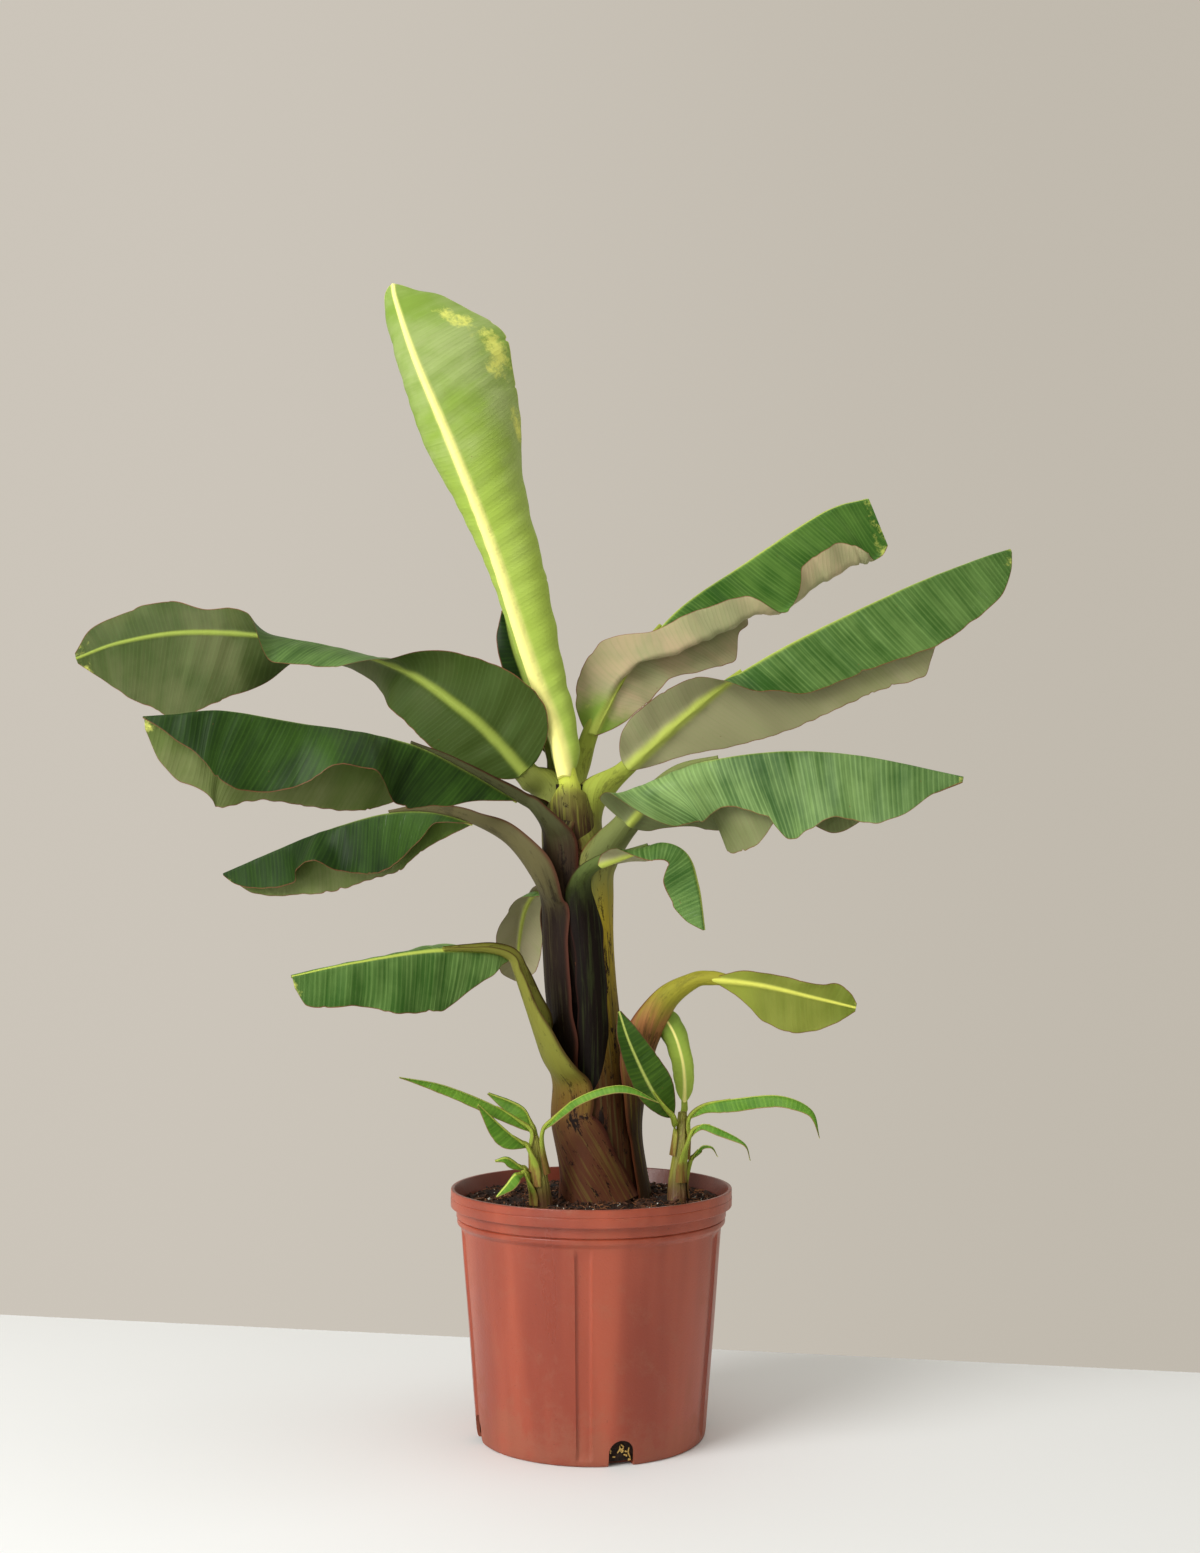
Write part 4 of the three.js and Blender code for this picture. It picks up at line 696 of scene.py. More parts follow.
# ------------------------------------------------------------------ leaf finishes
GREENS = {
    # the upper face in painted shade and in painted light, the lower face and its tint, the lower face
    # near the stalk, the midrib above and below, the margin, and the share along which the tone near
    # the stalk reaches
    "mature": (
        (18, 40, 6), (56, 88, 26), (84, 100, 44), (112, 118, 74), (66, 88, 22),
        (150, 168, 78), (160, 176, 84), (120, 72, 50), 0.32,
    ),
    "shaded": (
        (28, 58, 14), (96, 126, 66), (56, 72, 26), (86, 92, 54), (52, 72, 16),
        (150, 168, 78), (140, 156, 66), (120, 72, 50), 0.3,
    ),
    "bright": (
        (42, 80, 22), (122, 154, 84), (142, 148, 96), (162, 154, 122), (148, 144, 108),
        (176, 192, 84), (176, 188, 84), (124, 76, 52), 0.5,
    ),
    "deep": (
        (40, 76, 24), (134, 164, 98), (98, 108, 62), (124, 126, 86), (112, 118, 78),
        (170, 186, 90), (176, 188, 84), (120, 80, 50), 0.2,
    ),
    "rosy": (
        (40, 84, 20), (112, 150, 68), (158, 158, 116), (192, 170, 136), (120, 156, 40),
        (176, 192, 84), (176, 188, 84), (136, 76, 56), 0.09,
    ),
    "fresh": (
        (72, 116, 26), (126, 160, 60), (122, 150, 58), (158, 174, 110), (168, 192, 78),
        (224, 226, 120), (252, 246, 150), (186, 186, 100), 0.55,
    ),
    "golden": (
        (76, 106, 26), (118, 142, 48), (98, 110, 32), (124, 130, 52), (134, 142, 50),
        (200, 204, 96), (208, 210, 92), (110, 70, 44), 0.3,
    ),
    "sucker": (
        (62, 108, 22), (118, 160, 56), (126, 156, 66), (156, 178, 96), (144, 168, 62),
        (196, 206, 96), (204, 212, 96), (140, 110, 66), 0.3,
    ),
    "sucker_dark": (
        (30, 58, 8), (74, 106, 28), (84, 106, 46), (110, 118, 70), (84, 106, 46),
        (166, 178, 90), (170, 182, 94), (96, 56, 40), 0.3,
    ),
}
SCORCH = rgb(104, 70, 40)
YELLOWED = rgb(222, 224, 112)
STALK_COLOURS = {
    # petiole, sheath, the sheath's foot, dry edge, how strongly speckled, metres up to which the
    # foot's colour reaches
    "left_high": ((128, 136, 66), (118, 112, 62), (76, 52, 32), (66, 26, 16), 0.9, 0.05),
    "left_dull": ((78, 80, 50), (58, 44, 30), (30, 18, 12), (70, 30, 20), 0.9, 0.1),
    "left_old": ((96, 90, 58), (32, 20, 14), (22, 13, 9), (84, 46, 34), 0.7, 0.14),
    "left_small": ((136, 136, 58), (134, 110, 42), (88, 50, 32), (54, 18, 12), 1.0, 0.12),
    "right_mid": ((112, 120, 68), (170, 150, 42), (66, 36, 18), (96, 34, 20), 1.0, 0.2),
    "right_top": ((154, 166, 66), (118, 118, 52), (72, 48, 30), (84, 46, 28), 0.7, 0.06),
    "right_small": ((150, 146, 48), (186, 126, 76), (54, 36, 18), (100, 52, 30), 0.5, 0.17),
    "curled": ((84, 98, 48), (20, 12, 8), (14, 8, 6), (44, 20, 14), 0.5, 0.1),
    "lime": ((196, 206, 80), (112, 108, 50), (64, 44, 28), (76, 38, 22), 0.9, 0.05),
    "sucker": ((160, 178, 70), (158, 156, 70), (128, 96, 50), (120, 84, 48), 0.2, 0.01),
}


def blade_finish(name, *tones):
    """Upper and lower faces in their own greens, streaked along the side veins, with a pale midrib,
    a thin brown margin, yellowed and scorched patches, and a duller lower face. The upper face goes
    from its dark to its light green as painted light and shade, in soft patches and in bands along
    the veins, and lighter towards the stalk; the lower face takes its tint in the same patches."""
    dark, light, under_dark, under_light, young, rib_above, rib_below, rim, reach = (
        rgb(*tone) if isinstance(tone, tuple) else tone for tone in tones
    )
    r = Recipe("blade_" + name, IOR=1.24)
    place = r.place()
    out = r.parts(r.surface())[1]
    vein, share = r.value("vein"), r.value("share")
    upper, margin, scar, midrib = (r.value(key) for key in ("upper", "margin", "scar", "midrib"))
    face = upper.rise(0.45, 0.55)
    streak = r.mottle(vein * 300, out * 8, upper * 5, detail=4, roughness=0.65)
    band = r.mottle(vein * 45, out * 9, upper * 3, detail=2)
    lines = ((vein * 1300).sin() * 0.5 + 0.5) ** 3
    # Soft patches of painted light and shade over the blade.
    cloud = r.noise(place, 11, detail=5)
    # The upper face's painted light and shade: the patches, bands along the veins, lighter near the
    # stalk.
    lit = (streak * 0.55 + band * 0.6 + cloud * 1.1 - 0.72 + lines * 0.14).rise(0.1, 0.85)
    top = r.blend(lit * (1.25 - share * 0.7), dark, light)
    # The lower face's lighter tint follows the same painted patches.
    tint = (cloud * 1.2 + band * 0.4 + streak * 0.2).rise(0.7, 1.15)
    under = r.blend(tint, under_dark, under_light)
    near_stalk = 1 - (share + (cloud - 0.5) * 0.3).rise(reach * 0.6, reach * 1.5)
    under = r.blend(near_stalk * 0.85, under, young)
    under = r.blend(lines * 0.08 + band.rise(0.5, 0.8) * 0.15, under, light)
    colour = r.blend(face, under, top)
    colour = r.blend(midrib, colour, r.blend(face, rib_below, rib_above))
    patch = r.noise(place, 70, detail=5, roughness=0.75)
    yellow = (scar * 1.1 + patch * 1.6 - 1.25).rise(0.05, 0.5)
    scorched = (scar * 1.1 + patch * 1.6 - 1.35).rise(0.55, 0.8)
    colour = r.blend(yellow * 0.85, colour, YELLOWED)
    colour = r.blend(scorched * 0.9, colour, SCORCH)
    fleck = r.mottle(vein * 200, out * 160, upper * 9, detail=2)
    colour = r.blend(fleck.rise(0.73, 0.8) * 0.6, colour, SCORCH)
    scratch = r.mottle(vein * 700, out * 40, 2.0, roughness=0.7)
    bloom = scratch.rise(0.6, 0.75) * cloud.rise(0.52, 0.64) * face
    colour = r.blend(bloom * 0.3, colour, rgb(176, 190, 168))
    edge = 1 - (margin + patch * 0.0012).rise(0.0008, 0.0018)
    colour = r.blend(edge * 0.9, colour, rim)
    roughness = 0.54 - upper * 0.12 + streak * 0.14 + scar * 0.2
    height = lines * 0.14 + streak * 0.35 + band * 0.6
    return r.finish(colour, roughness=roughness, height=height, depth=0.0006)


def stalk_finish(name, petiole, sheath, foot, edge, speckled, foot_reach):
    """A ribbed stalk: long streaks, dark blotches and speckles, a browner foot and dry edges."""
    petiole, sheath, foot, edge = (rgb(*tone) for tone in (petiole, sheath, foot, edge))
    r = Recipe("stalk_" + name, IOR=1.2)
    along, around, _ = r.parts(r.surface())
    rim, on_stem = r.value("rim"), r.value("sheath")
    streak = r.mottle(along * 7, around * 260, 0.0, detail=4, roughness=0.65)
    cloud = r.mottle(along * 14, around * 55, 7.0, detail=5, roughness=0.6)
    colour = r.blend((on_stem + cloud * 0.5 - 0.25).rise(0.1, 0.8), petiole, sheath)
    low = 1 - (along + (cloud - 0.5) * 0.12).rise(foot_reach * 0.5, foot_reach * 1.5)
    colour = r.blend(low, colour, foot)
    brown = (streak * 0.8 + cloud * 0.9).rise(0.86, 1.02)
    colour = r.blend(brown * 0.75 * (0.25 + on_stem * 0.75), colour, foot)
    pale = (streak * 1.1 - cloud * 0.5).rise(0.3, 0.45)
    colour = r.blend(pale * 0.5 * (1 - on_stem * 0.65), colour, petiole)
    blotch = r.mottle(along * 38, around * 120, 3.0, detail=6, roughness=0.8)
    spotted = (blotch + (cloud - 0.5) * 0.5).rise(0.56, 0.6) * (0.4 + on_stem * 0.6)
    colour = r.blend(spotted * speckled, colour, rgb(26, 15, 11))
    colour = r.blend(rim * 0.85, colour, edge)
    height = streak * 0.9 + blotch * 0.4
    return r.finish(colour, roughness=0.46 + streak * 0.2, height=height, depth=0.001)


BLADE_FINISH = {name: blade_finish(name, *tones) for name, tones in GREENS.items()}
STALK_FINISH = {name: stalk_finish(name, *tones) for name, tones in STALK_COLOURS.items()}


# ------------------------------------------------------------------ blades
def across_rib(leaf, tangent):
    """Unit directions square to the rib: towards the leaf's front, and up."""
    front = square_to(np.array(leaf["front"], float), tangent)
    return front, leaf["side"] * np.cross(tangent, front)


def turned(front, up, degrees):
    """The direction at an angle about the rib: its cosine of front and its sine of up."""
    angle = np.radians(degrees)[..., None]
    return np.cos(angle) * front + np.sin(angle) * up


def face_angle(leaf, share):
    """Where the upper face looks at the rib: midway between the leans of the two halves."""
    return (column(leaf["near"], 2, share) + column(leaf["far"], 2, share)) / 2


def half_blade(leaf, rows, sign, share, place, front, up, cells, trim):
    """One half of the blade, [station, column], and each column's share of the width. Going out
    from the rib the direction starts square to the face, turns to the row's lean within the crease
    and by the row's turn about its fold, and the points are the running integral of it."""
    width = np.maximum(column(rows, 1, share), 1.2) * trim
    lean, turn, fold = (column(rows, i, share)[:, None] for i in (2, 3, 4))
    soft = np.minimum(leaf["soft"], np.maximum(fold, 0.08)) if leaf["soft"] < 0.5 else 0.5
    fine = 5
    t = np.linspace(0, 1, cells * fine + 1)
    v = 0.5 * t**1.4 + 0.25 * (1 - np.cos(math.pi * t))
    flat = face_angle(leaf, share)[:, None] + sign * 90
    opened = flat + (lean - flat) * smooth(v * width[:, None] / CREASE)
    angle = opened + turn * smooth((v - fold + soft) / (2 * soft))
    heading = turned(front[:, None], up[:, None], angle)
    step = np.diff(v)[None, :, None] * width[:, None, None]
    run = np.cumsum((heading[:, 1:] + heading[:, :-1]) / 2 * step, axis=1)
    points = np.concatenate([np.zeros_like(run[:, :1]), run], axis=1) + place[:, None]
    return points[:, ::fine], v[::fine], width


def surface_normal(points, side):
    """Unit normals of the blade's upper face, from the differences along and across the grid."""
    along = np.gradient(points, axis=0)
    across = np.gradient(points, axis=1)
    return -side * unit(np.cross(along, across))


def notches(along, length, seed, count, depth):
    """The share of the width left at each station: 1 less a few narrow bell-shaped tears."""
    rng = np.random.default_rng(seed)
    at = rng.uniform(0.12, 0.97, count) * length
    deep = rng.uniform(0.25, 1, count) * depth
    wide = rng.uniform(1.2, 3.2, count)
    bells = deep * np.exp(-(((along[:, None] - at) / wide) ** 2))
    return 1 - np.minimum(bells.sum(axis=1), 2 * depth)


def rounded_start(along, reach):
    """A quarter ellipse that opens the blade from the stalk over its reach."""
    t = np.clip(1 - along / reach, 0, 1)
    return np.sqrt(np.maximum(1 - t * t, 0.0))


def blade(name, leaf, look, seed):
    """The blade as a thin closed sheet: its middle surface is raised by pleats along the side
    veins and by waves that grow with the cube of the way out, then given two faces, with a ridge
    under the midrib of height times exp(-(distance / half width)^2) and a groove above it."""
    stations, cells = look["grid"]
    share = np.linspace(0, 1, stations)
    place, tangent, length, _ = curve_through(leaf["rib"], share)
    front, up = across_rib(leaf, tangent)
    along = share * length
    margins = {}
    halves = []
    for key, sign in (("near", -1), ("far", 1)):
        trim = notches(along, length, seed * 7 + sign, *look["tears"][key])
        trim = trim * (1 + look["ragged"] * waves(along, 26, seed + 11 * sign))
        trim = trim * rounded_start(along, look["base_round"])
        points, v, width = half_blade(leaf, leaf[key], sign, share, place, front, up, cells, trim)
        halves.append(points)
        margins[key] = (1 - v) * width[:, None]
    points = np.concatenate([halves[0][:, :0:-1], halves[1]], axis=1)
    v = np.concatenate([-v[:0:-1], v])
    margin = np.concatenate([margins["near"][:, :0:-1], margins["far"]], axis=1)
    width = np.where(v < 0, margins["near"][:, :1], margins["far"][:, :1])
    out = v * width
    away = abs(out)
    vein = along[:, None] - VEIN_SLANT * away - 0.0012 * away**2
    normal = surface_normal(points, leaf["side"])
    start = smooth(along / 25)[:, None] * smooth((length - along) / 20)[:, None]
    pleat = waves(vein, look["pleat_length"], seed) * look["pleat"]
    pleat = pleat * smooth(away / 9) * (1 - 0.8 * v * v) * start
    ripple = waves(along[:, None] + 9 * v, look["ripple_length"], seed + 1) * look["ripple"]
    points = points + normal * (pleat + ripple * abs(v) ** 3 * start)[..., None]
    normal = surface_normal(points, leaf["side"])
    high, low = look["ridge"]
    tall = low + (high - low) * (1 - share[:, None]) ** 1.3
    ridge = tall * np.exp(-((away / (1.1 * tall + 0.6)) ** 2))
    thin = 0.28 * smooth((margin + 0.8) / 3)
    upper = points + normal * (thin - 0.4 * ridge)[..., None]
    lower = points - normal * (thin + ridge)[..., None]
    midrib = np.exp(-((away / (look["rib_width"] * (1.15 - share[:, None]) + 0.7)) ** 4))
    scar = np.zeros_like(out)
    for at, side_share, reach_along, reach_out, strength in look["scars"]:
        far_along = (along[:, None] - at * length) / reach_along
        far_out = (out - side_share * width) / reach_out
        scar += strength * np.exp(-(far_along**2) - far_out**2)
    scar += look["tip_scorch"] * smooth((share[:, None] - 0.93) / 0.07)
    values = {
        "vein": vein * MM, "margin": margin * MM, "midrib": midrib, "scar": scar,
        "share": share[:, None], "upper": np.array([1.0, 0.0])[:, None, None],
    }
    material, slot = BLADE_FINISH[look["greens"]], look["slot"]
    return add_sheet(name + "_blade", upper, lower, along[:, None], out, values, material, slot)


# ------------------------------------------------------------------ stalks and stems
def heading_of(degrees):
    """The level direction at an azimuth, or at each of several."""
    angle = np.radians(degrees)
    return np.stack([np.cos(angle), np.sin(angle), 0 * angle], axis=-1)


def stalk(name, leaf, look, seed):
    """A channelled stalk swept up the stem, through the petiole and under the first part of the
    rib. Its section is a crescent that wraps the stem at the sheath, closes to a gutter in the
    petiole, and thins to its two edges as 1 - angle^2.4."""
    rows = STEMS[leaf["stem"]]
    sheath = SHEATH if leaf["stem"] == "pseudostem" else SUCKER_SHEATH
    layer = leaf["layer"] * (sheath + HUG) + look["out"]
    low, high = leaf["hug"]
    low -= look["deeper"]
    hugged = np.linspace(low, high, max(2, round((high - low) / 45) + 1))
    below = 1 - smooth((hugged - low) / (0.7 * (high - low)))
    reach = column(rows, 3, hugged) + HUG + sheath / 2 + layer - look["sink"] * below
    centre = np.stack([column(rows, 1, hugged), column(rows, 2, hugged), hugged], -1)
    rib = curve_through(leaf["rib"], look["rib_shares"])[0]
    way = heading_of(leaf["azimuth"] + look["twist"] * below)
    line = [*(centre + reach[:, None] * way), *leaf["petiole"], *rib]
    stations, sides = look["stalk_grid"]
    share = np.linspace(0, 1, stations)
    place, tangent, length, knots = curve_through(line, share)
    hug_end, rib_start = knots[len(hugged) - 1], knots[-len(rib)]
    freed = smooth((share - hug_end * 0.8) / max(rib_start - hug_end * 0.8, 0.02))[:, None]
    ribbed = np.clip((share - rib_start) / (1 - rib_start), 0, 1)[:, None]
    front, up = across_rib(leaf, tangent)
    back = turned(front, up, np.full(stations, face_angle(leaf, np.array([0.0]))[0] + 180))
    climb = (1 - smooth(share / (0.7 * hug_end))) * look["twist"]
    way = heading_of(leaf["azimuth"] + climb)
    outside = square_to(way + (back - way) * freed, tangent)
    sideways = np.cross(tangent, outside)
    stem_radius = column(rows, 3, np.clip(place[:, 2], low, high))[:, None]
    stem_radius = stem_radius + HUG + layer + sheath / 2
    free_radius = leaf["petiole_radius"] * look["stout"]
    petiole_radius = free_radius + (look["rib_radius"] - free_radius) * ribbed
    radius = stem_radius + (petiole_radius - stem_radius) * freed ** look["taper"]
    spread = look["wrap"] * (1 + look["foot_wrap"] * (1 - smooth(share / hug_end))[:, None])
    wrap = np.radians(spread + (100 - spread) * freed)
    wrap = wrap * (1 + 0.04 * waves(share * length, 70, seed)[:, None])
    petiole = min(PETIOLE, leaf["petiole_radius"] * 0.9) * (1 - 0.7 * ribbed)
    deep = np.minimum(sheath + (petiole - sheath) * freed, radius * 1.2)
    turn = np.linspace(-1, 1, sides)[None]
    angle = turn * wrap
    half = deep / 2 * (1 - 0.93 * abs(turn) ** 2.4)

    def arc(distance):
        along_out = distance * np.cos(angle) - radius
        return (
            place[:, None]
            + outside[:, None] * along_out[..., None]
            + sideways[:, None] * (distance * np.sin(angle))[..., None]
        )

    run = share[:, None] * length
    rim = smooth((abs(turn) - 0.86) / 0.12)
    start, reach = look["fade"] or (hug_end * 0.7, 0.6 * hug_end + 0.02)
    values = {"rim": rim, "sheath": 1 - smooth((share - start) / reach)[:, None]}
    upper, lower = arc(radius + half), arc(radius - half)
    material, slot = STALK_FINISH[look["stalk"]], look["slot"]
    return add_sheet(name + "_stalk", upper, lower, run, angle * radius, values, material, slot)


def stem(name, rows, material, slot, stations, sides, folds, seed):
    """A stem of old sheaths: round its axis the table's radius, raised by overlapping sheath
    edges, each a step that dies away round the stem, and by fine lengthwise ribs."""
    height = np.linspace(rows[0][0], rows[-1][0], stations)
    z, a = np.meshgrid(height, round_angles(sides), indexing="ij")
    rng = np.random.default_rng(seed)
    relief = np.zeros_like(z)
    for _ in range(folds):
        edge = rng.uniform(0, 2 * math.pi) + rng.uniform(-0.004, 0.004) * z
        edge = edge + 0.12 * waves(z, 90, seed)
        past = (a - edge) % (2 * math.pi)
        relief = relief + rng.uniform(0.8, 1.7) * np.exp(-past / 0.7) * smooth(past / 0.05)
        seed += 1
    relief = relief + 0.35 * waves(a * 30, 9, seed + 5) + 0.5 * waves(z, 40, seed + 6, y=a * 30)
    radius = column(rows, 3, height)[:, None] - 0.6 + relief * smooth((z + 20) / 30)
    axis = np.stack([column(rows, 1, height), column(rows, 2, height), 0 * height], -1)
    vertices, faces = closed_tube(axis[:, None] + around(radius, a, z))
    uv = np.stack([z, a * radius], -1).reshape(-1, 2) * MM
    uv = np.vstack([uv, uv[[0, -1]]])
    return add_piece(name + "_surface", above_soil(vertices), faces, material, slot, uv)


# ------------------------------------------------------------------ pot
def pot_finish():
    """Brick-coloured moulded plastic: painted sheen in upright streaks, dusted low down, scuffed at
    the rim, and painted shade on the inside of the wall.
    """
    r = Recipe("terracotta_plastic", IOR=1.46)
    place = r.place()
    x, y, z = r.parts(place)
    # Upright streaks, rougher and smoother, and lighter and darker in colour as a painted sheen.
    mottle = r.mottle(x * 16, y * 16, z * 1.2)
    grain = r.noise(place, 480, detail=2)
    colour = r.blend(mottle.rise(0.35, 0.68), rgb(138, 58, 38), rgb(168, 80, 56))
    low = 1 - z.rise(0.0, 0.07)
    dust = (r.noise(place, 40, detail=5, roughness=0.7) + low * 0.25).rise(0.5, 0.8)
    colour = r.blend(dust * 0.3, colour, rgb(150, 104, 80))
    rim = z.rise(POT_HEIGHT - 0.002, POT_HEIGHT) * r.noise(place, 90, detail=3).rise(0.35, 0.6)
    colour = r.blend(rim * 0.45, colour, rgb(96, 44, 36))
    speck = r.noise(place, 700, detail=1).rise(0.74, 0.8)
    colour = r.blend(speck * 0.6, colour, rgb(40, 24, 18))
    # Painted shade: the inside of the wall is darker.
    colour = r.blend(r.value("inside") * 0.5, colour, rgb(84, 44, 36))
    roughness = 0.2 + mottle * 0.22 + dust * 0.25
    return r.finish(colour, roughness=roughness, height=grain * 0.5, depth=0.0004)


def wall_radius(z):
    """The outside of the wall, which widens evenly from the base to the band's foot."""
    top = NECK - BAND_STEP - SHOULDER
    return BASE_RADIUS + (top - BASE_RADIUS) * z / BAND_FOOT


def rounded(corners, steps=5):
    """A profile of (radius, height, rounding) corners, each replaced by a short curve: the
    quadratic between the two points that lie its rounding away along both sides."""
    points = [np.array(corners[0][:2])]
    t = np.linspace(0, 1, steps)[:, None]
    for before, here, after in zip(corners, corners[1:], corners[2:]):
        a, b, c = (np.array(corner[:2]) for corner in (before, here, after))
        start = b + unit(a - b) * here[2]
        end = b + unit(c - b) * here[2]
        points.extend((1 - t) ** 2 * start + 2 * t * (1 - t) * b + t**2 * end)
    points.append(np.array(corners[-1][:2]))
    return np.array(points)


def filled_in(profile, spacing):
    """The profile with points added so that none are further apart than the spacing."""
    out = []
    for a, b in zip(profile, profile[1:]):
        steps = max(1, math.ceil(np.linalg.norm(b - a) / spacing))
        out.append(a + (b - a) * np.linspace(0, 1, steps, endpoint=False)[:, None])
    return np.vstack([*out, profile[-1:]])


def revolve(profile, angle, relief):
    """The profile turned about the axis, [point, angle], its radius raised by the relief."""
    radius = profile[:, :1] + relief
    return around(radius, angle, np.broadcast_to(profile[:, 1:], radius.shape))


def drain_cutter(azimuth):
    """A round-topped prism that lies along the azimuth, through the foot of the wall."""
    radius = DRAIN_WIDTH / 2
    arch = np.linspace(0, math.pi, 17)
    across = np.concatenate([radius * np.cos(arch), [-radius, radius]])
    up = np.concatenate([DRAIN_HEIGHT - radius + radius * np.sin(arch), [-WALL, -WALL]])
    reach = np.array([BASE_RADIUS - 13 * MM, BASE_RADIUS + 12 * MM])[:, None]
    c, s = math.cos(azimuth), math.sin(azimuth)
    rings = np.stack([reach * c - across * s, reach * s + across * c, up + 0 * reach], -1)
    return closed_tube(rings)


def pot():
    """The wall's profile turned about the axis, pressed in along the flutes by the depth times a
    soft-edged step of the distance from each flute's middle, with the drains cut from its foot."""
    edge = 0.7 * MM
    line = 8 * MM  # the faint line round the lip lies this far below the top
    corners = [
        (0.5 * MM, 0, 0),
        (BASE_RADIUS - 1 * MM, 0, 2.2 * MM),
        (wall_radius(4 * MM), 5 * MM, 2 * MM),
        (wall_radius(BAND_FOOT), BAND_FOOT, 1.2 * MM),
        (NECK - BAND_STEP, BAND_FOOT + SHOULDER, 1.2 * MM),
        (NECK - BAND_STEP, BAND_TOP - 1 * MM, edge),
        (NECK - BAND_STEP - 1.6 * MM, BAND_TOP, 0.5 * MM),
        (NECK, BAND_TOP + 1.2 * MM, 0.5 * MM),
        (NECK, LIP_FOOT, 0.5 * MM),
        (POT_RADIUS - 0.3 * MM, LIP_FOOT, edge),
        (POT_RADIUS, POT_HEIGHT - line - 0.6 * MM, 0.3 * MM),
        (POT_RADIUS - 0.7 * MM, POT_HEIGHT - line, 0.3 * MM),
        (POT_RADIUS - 0.2 * MM, POT_HEIGHT - line + 0.6 * MM, 0.3 * MM),
        (POT_RADIUS - 0.2 * MM, POT_HEIGHT, 0.9 * MM),
        (POT_RADIUS - 3.4 * MM, POT_HEIGHT, 0.9 * MM),
        (NECK - WALL, LIP_FOOT - 2 * MM, 2 * MM),
        (NECK - WALL, BAND_TOP, 2 * MM),
        (wall_radius(BAND_FOOT) - WALL, BAND_FOOT, 2 * MM),
        (BASE_RADIUS - WALL, WALL, 2 * MM),
        (0.5 * MM, WALL, 0),
    ]
    profile = filled_in(rounded(corners), 6 * MM)
    outside = np.arange(len(profile)) < np.argmax(profile[:, 1] > POT_HEIGHT - 0.1 * MM)
    angle = round_angles(480)
    pitch = 2 * math.pi / FLUTES
    off = (angle - FLUTE_AZIMUTH + pitch / 2) % pitch - pitch / 2
    inside_flute = 1 - smooth((abs(off) * BASE_RADIUS * 1.1 - FLUTE_WIDTH / 2 + MM) / (2 * MM))
    z = profile[:, 1:]
    window = smooth((z - 4 * MM) / (6 * MM)) * (1 - smooth((z - BAND_FOOT + 5 * MM) / (4 * MM)))
    sway = 0.5 * MM * waves(z / MM, 160, 3, y=angle[None] * 120)
    relief = -FLUTE_DEPTH * inside_flute * window * outside[:, None] + sway
    vertices, faces = closed_tube(revolve(profile, angle, relief))
    # The inside of the wall, which the finish paints darker as shade.
    inner = np.repeat((~outside).astype(float), len(angle))
    values = {"inside": np.concatenate([inner, [0, 1]])}
    slot = "terracotta_plastic"
    piece = add_piece("pot_shell", vertices, faces, pot_finish(), slot, values=values)
    cut_by(piece, [drain_cutter(DRAIN_AZIMUTH + i * 2 * math.pi / DRAINS) for i in range(DRAINS)])
    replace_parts(piece, "nursery_pot")
    return piece


def cut_by(piece, cutters):
    """Takes closed surfaces out of a piece with a Boolean modifier, and keeps the result."""
    vertices, faces = joined(cutters)
    mesh = bpy.data.meshes.new("cutter")
    polygons = [list(dict.fromkeys(face)) for face in faces.tolist()]
    mesh.from_pydata(vertices.tolist(), [], polygons)
    tool = placed("cutter", mesh)
    modifier = piece.modifiers.new("drains", "BOOLEAN")
    modifier.operation = "DIFFERENCE"
    modifier.solver = "EXACT"
    modifier.object = tool
    graph = bpy.context.evaluated_depsgraph_get()
    cut = bpy.data.meshes.new_from_object(piece.evaluated_get(graph))
    piece.modifiers.clear()
    piece.data = cut
    bpy.data.objects.remove(tool)


# ------------------------------------------------------------------ soil and what lies on it
def soil_finish():
    """Moist dark crumbs, with browner patches."""
    r = Recipe("potting_soil", IOR=1.4)
    place = r.place()
    crumb = r.noise(place, 260, detail=5, roughness=0.7)
    patch = r.noise(place, 40, detail=4)
    light = (crumb * 0.8 + patch * 0.6 - 0.2).rise(0.3, 0.75)
    colour = r.blend(light, rgb(18, 12, 10), rgb(62, 42, 32))
    height = crumb + patch * 0.6
    return r.finish(colour, roughness=0.95, height=height, depth=0.003)


def litter_finish(name, dark, light, roughness=0.9):
    """Small loose bits, each somewhere between a dark and a light tone."""
    r = Recipe(name, IOR=1.4)
    place = r.place()
    kind = r.noise(place, 55, detail=2)
    grain = r.noise(place, 900, detail=3)
    colour = r.blend((kind * 1.3 + grain * 0.5 - 0.45).rise(0.2, 0.75), dark, light)
    return r.finish(colour, roughness=roughness, height=grain, depth=0.0004)


def soil_height(x, y):
    """The bed's height: level at the edge, mounded to the stems, and lumpy."""
    radius = np.hypot(x, y)
    mound = SOIL_LEVEL - SOIL_EDGE
    level = SOIL_EDGE + mound * (1 - smooth((radius - 0.05) / 0.08))
    lumps = sum(
        tall * waves(x / MM, length, seed, y=y / MM)
        for tall, length, seed in ((1.6, 42, 21), (1.0, 17, 22), (0.6, 8, 23))
    )
    return level - 1.5 * MM + lumps * MM


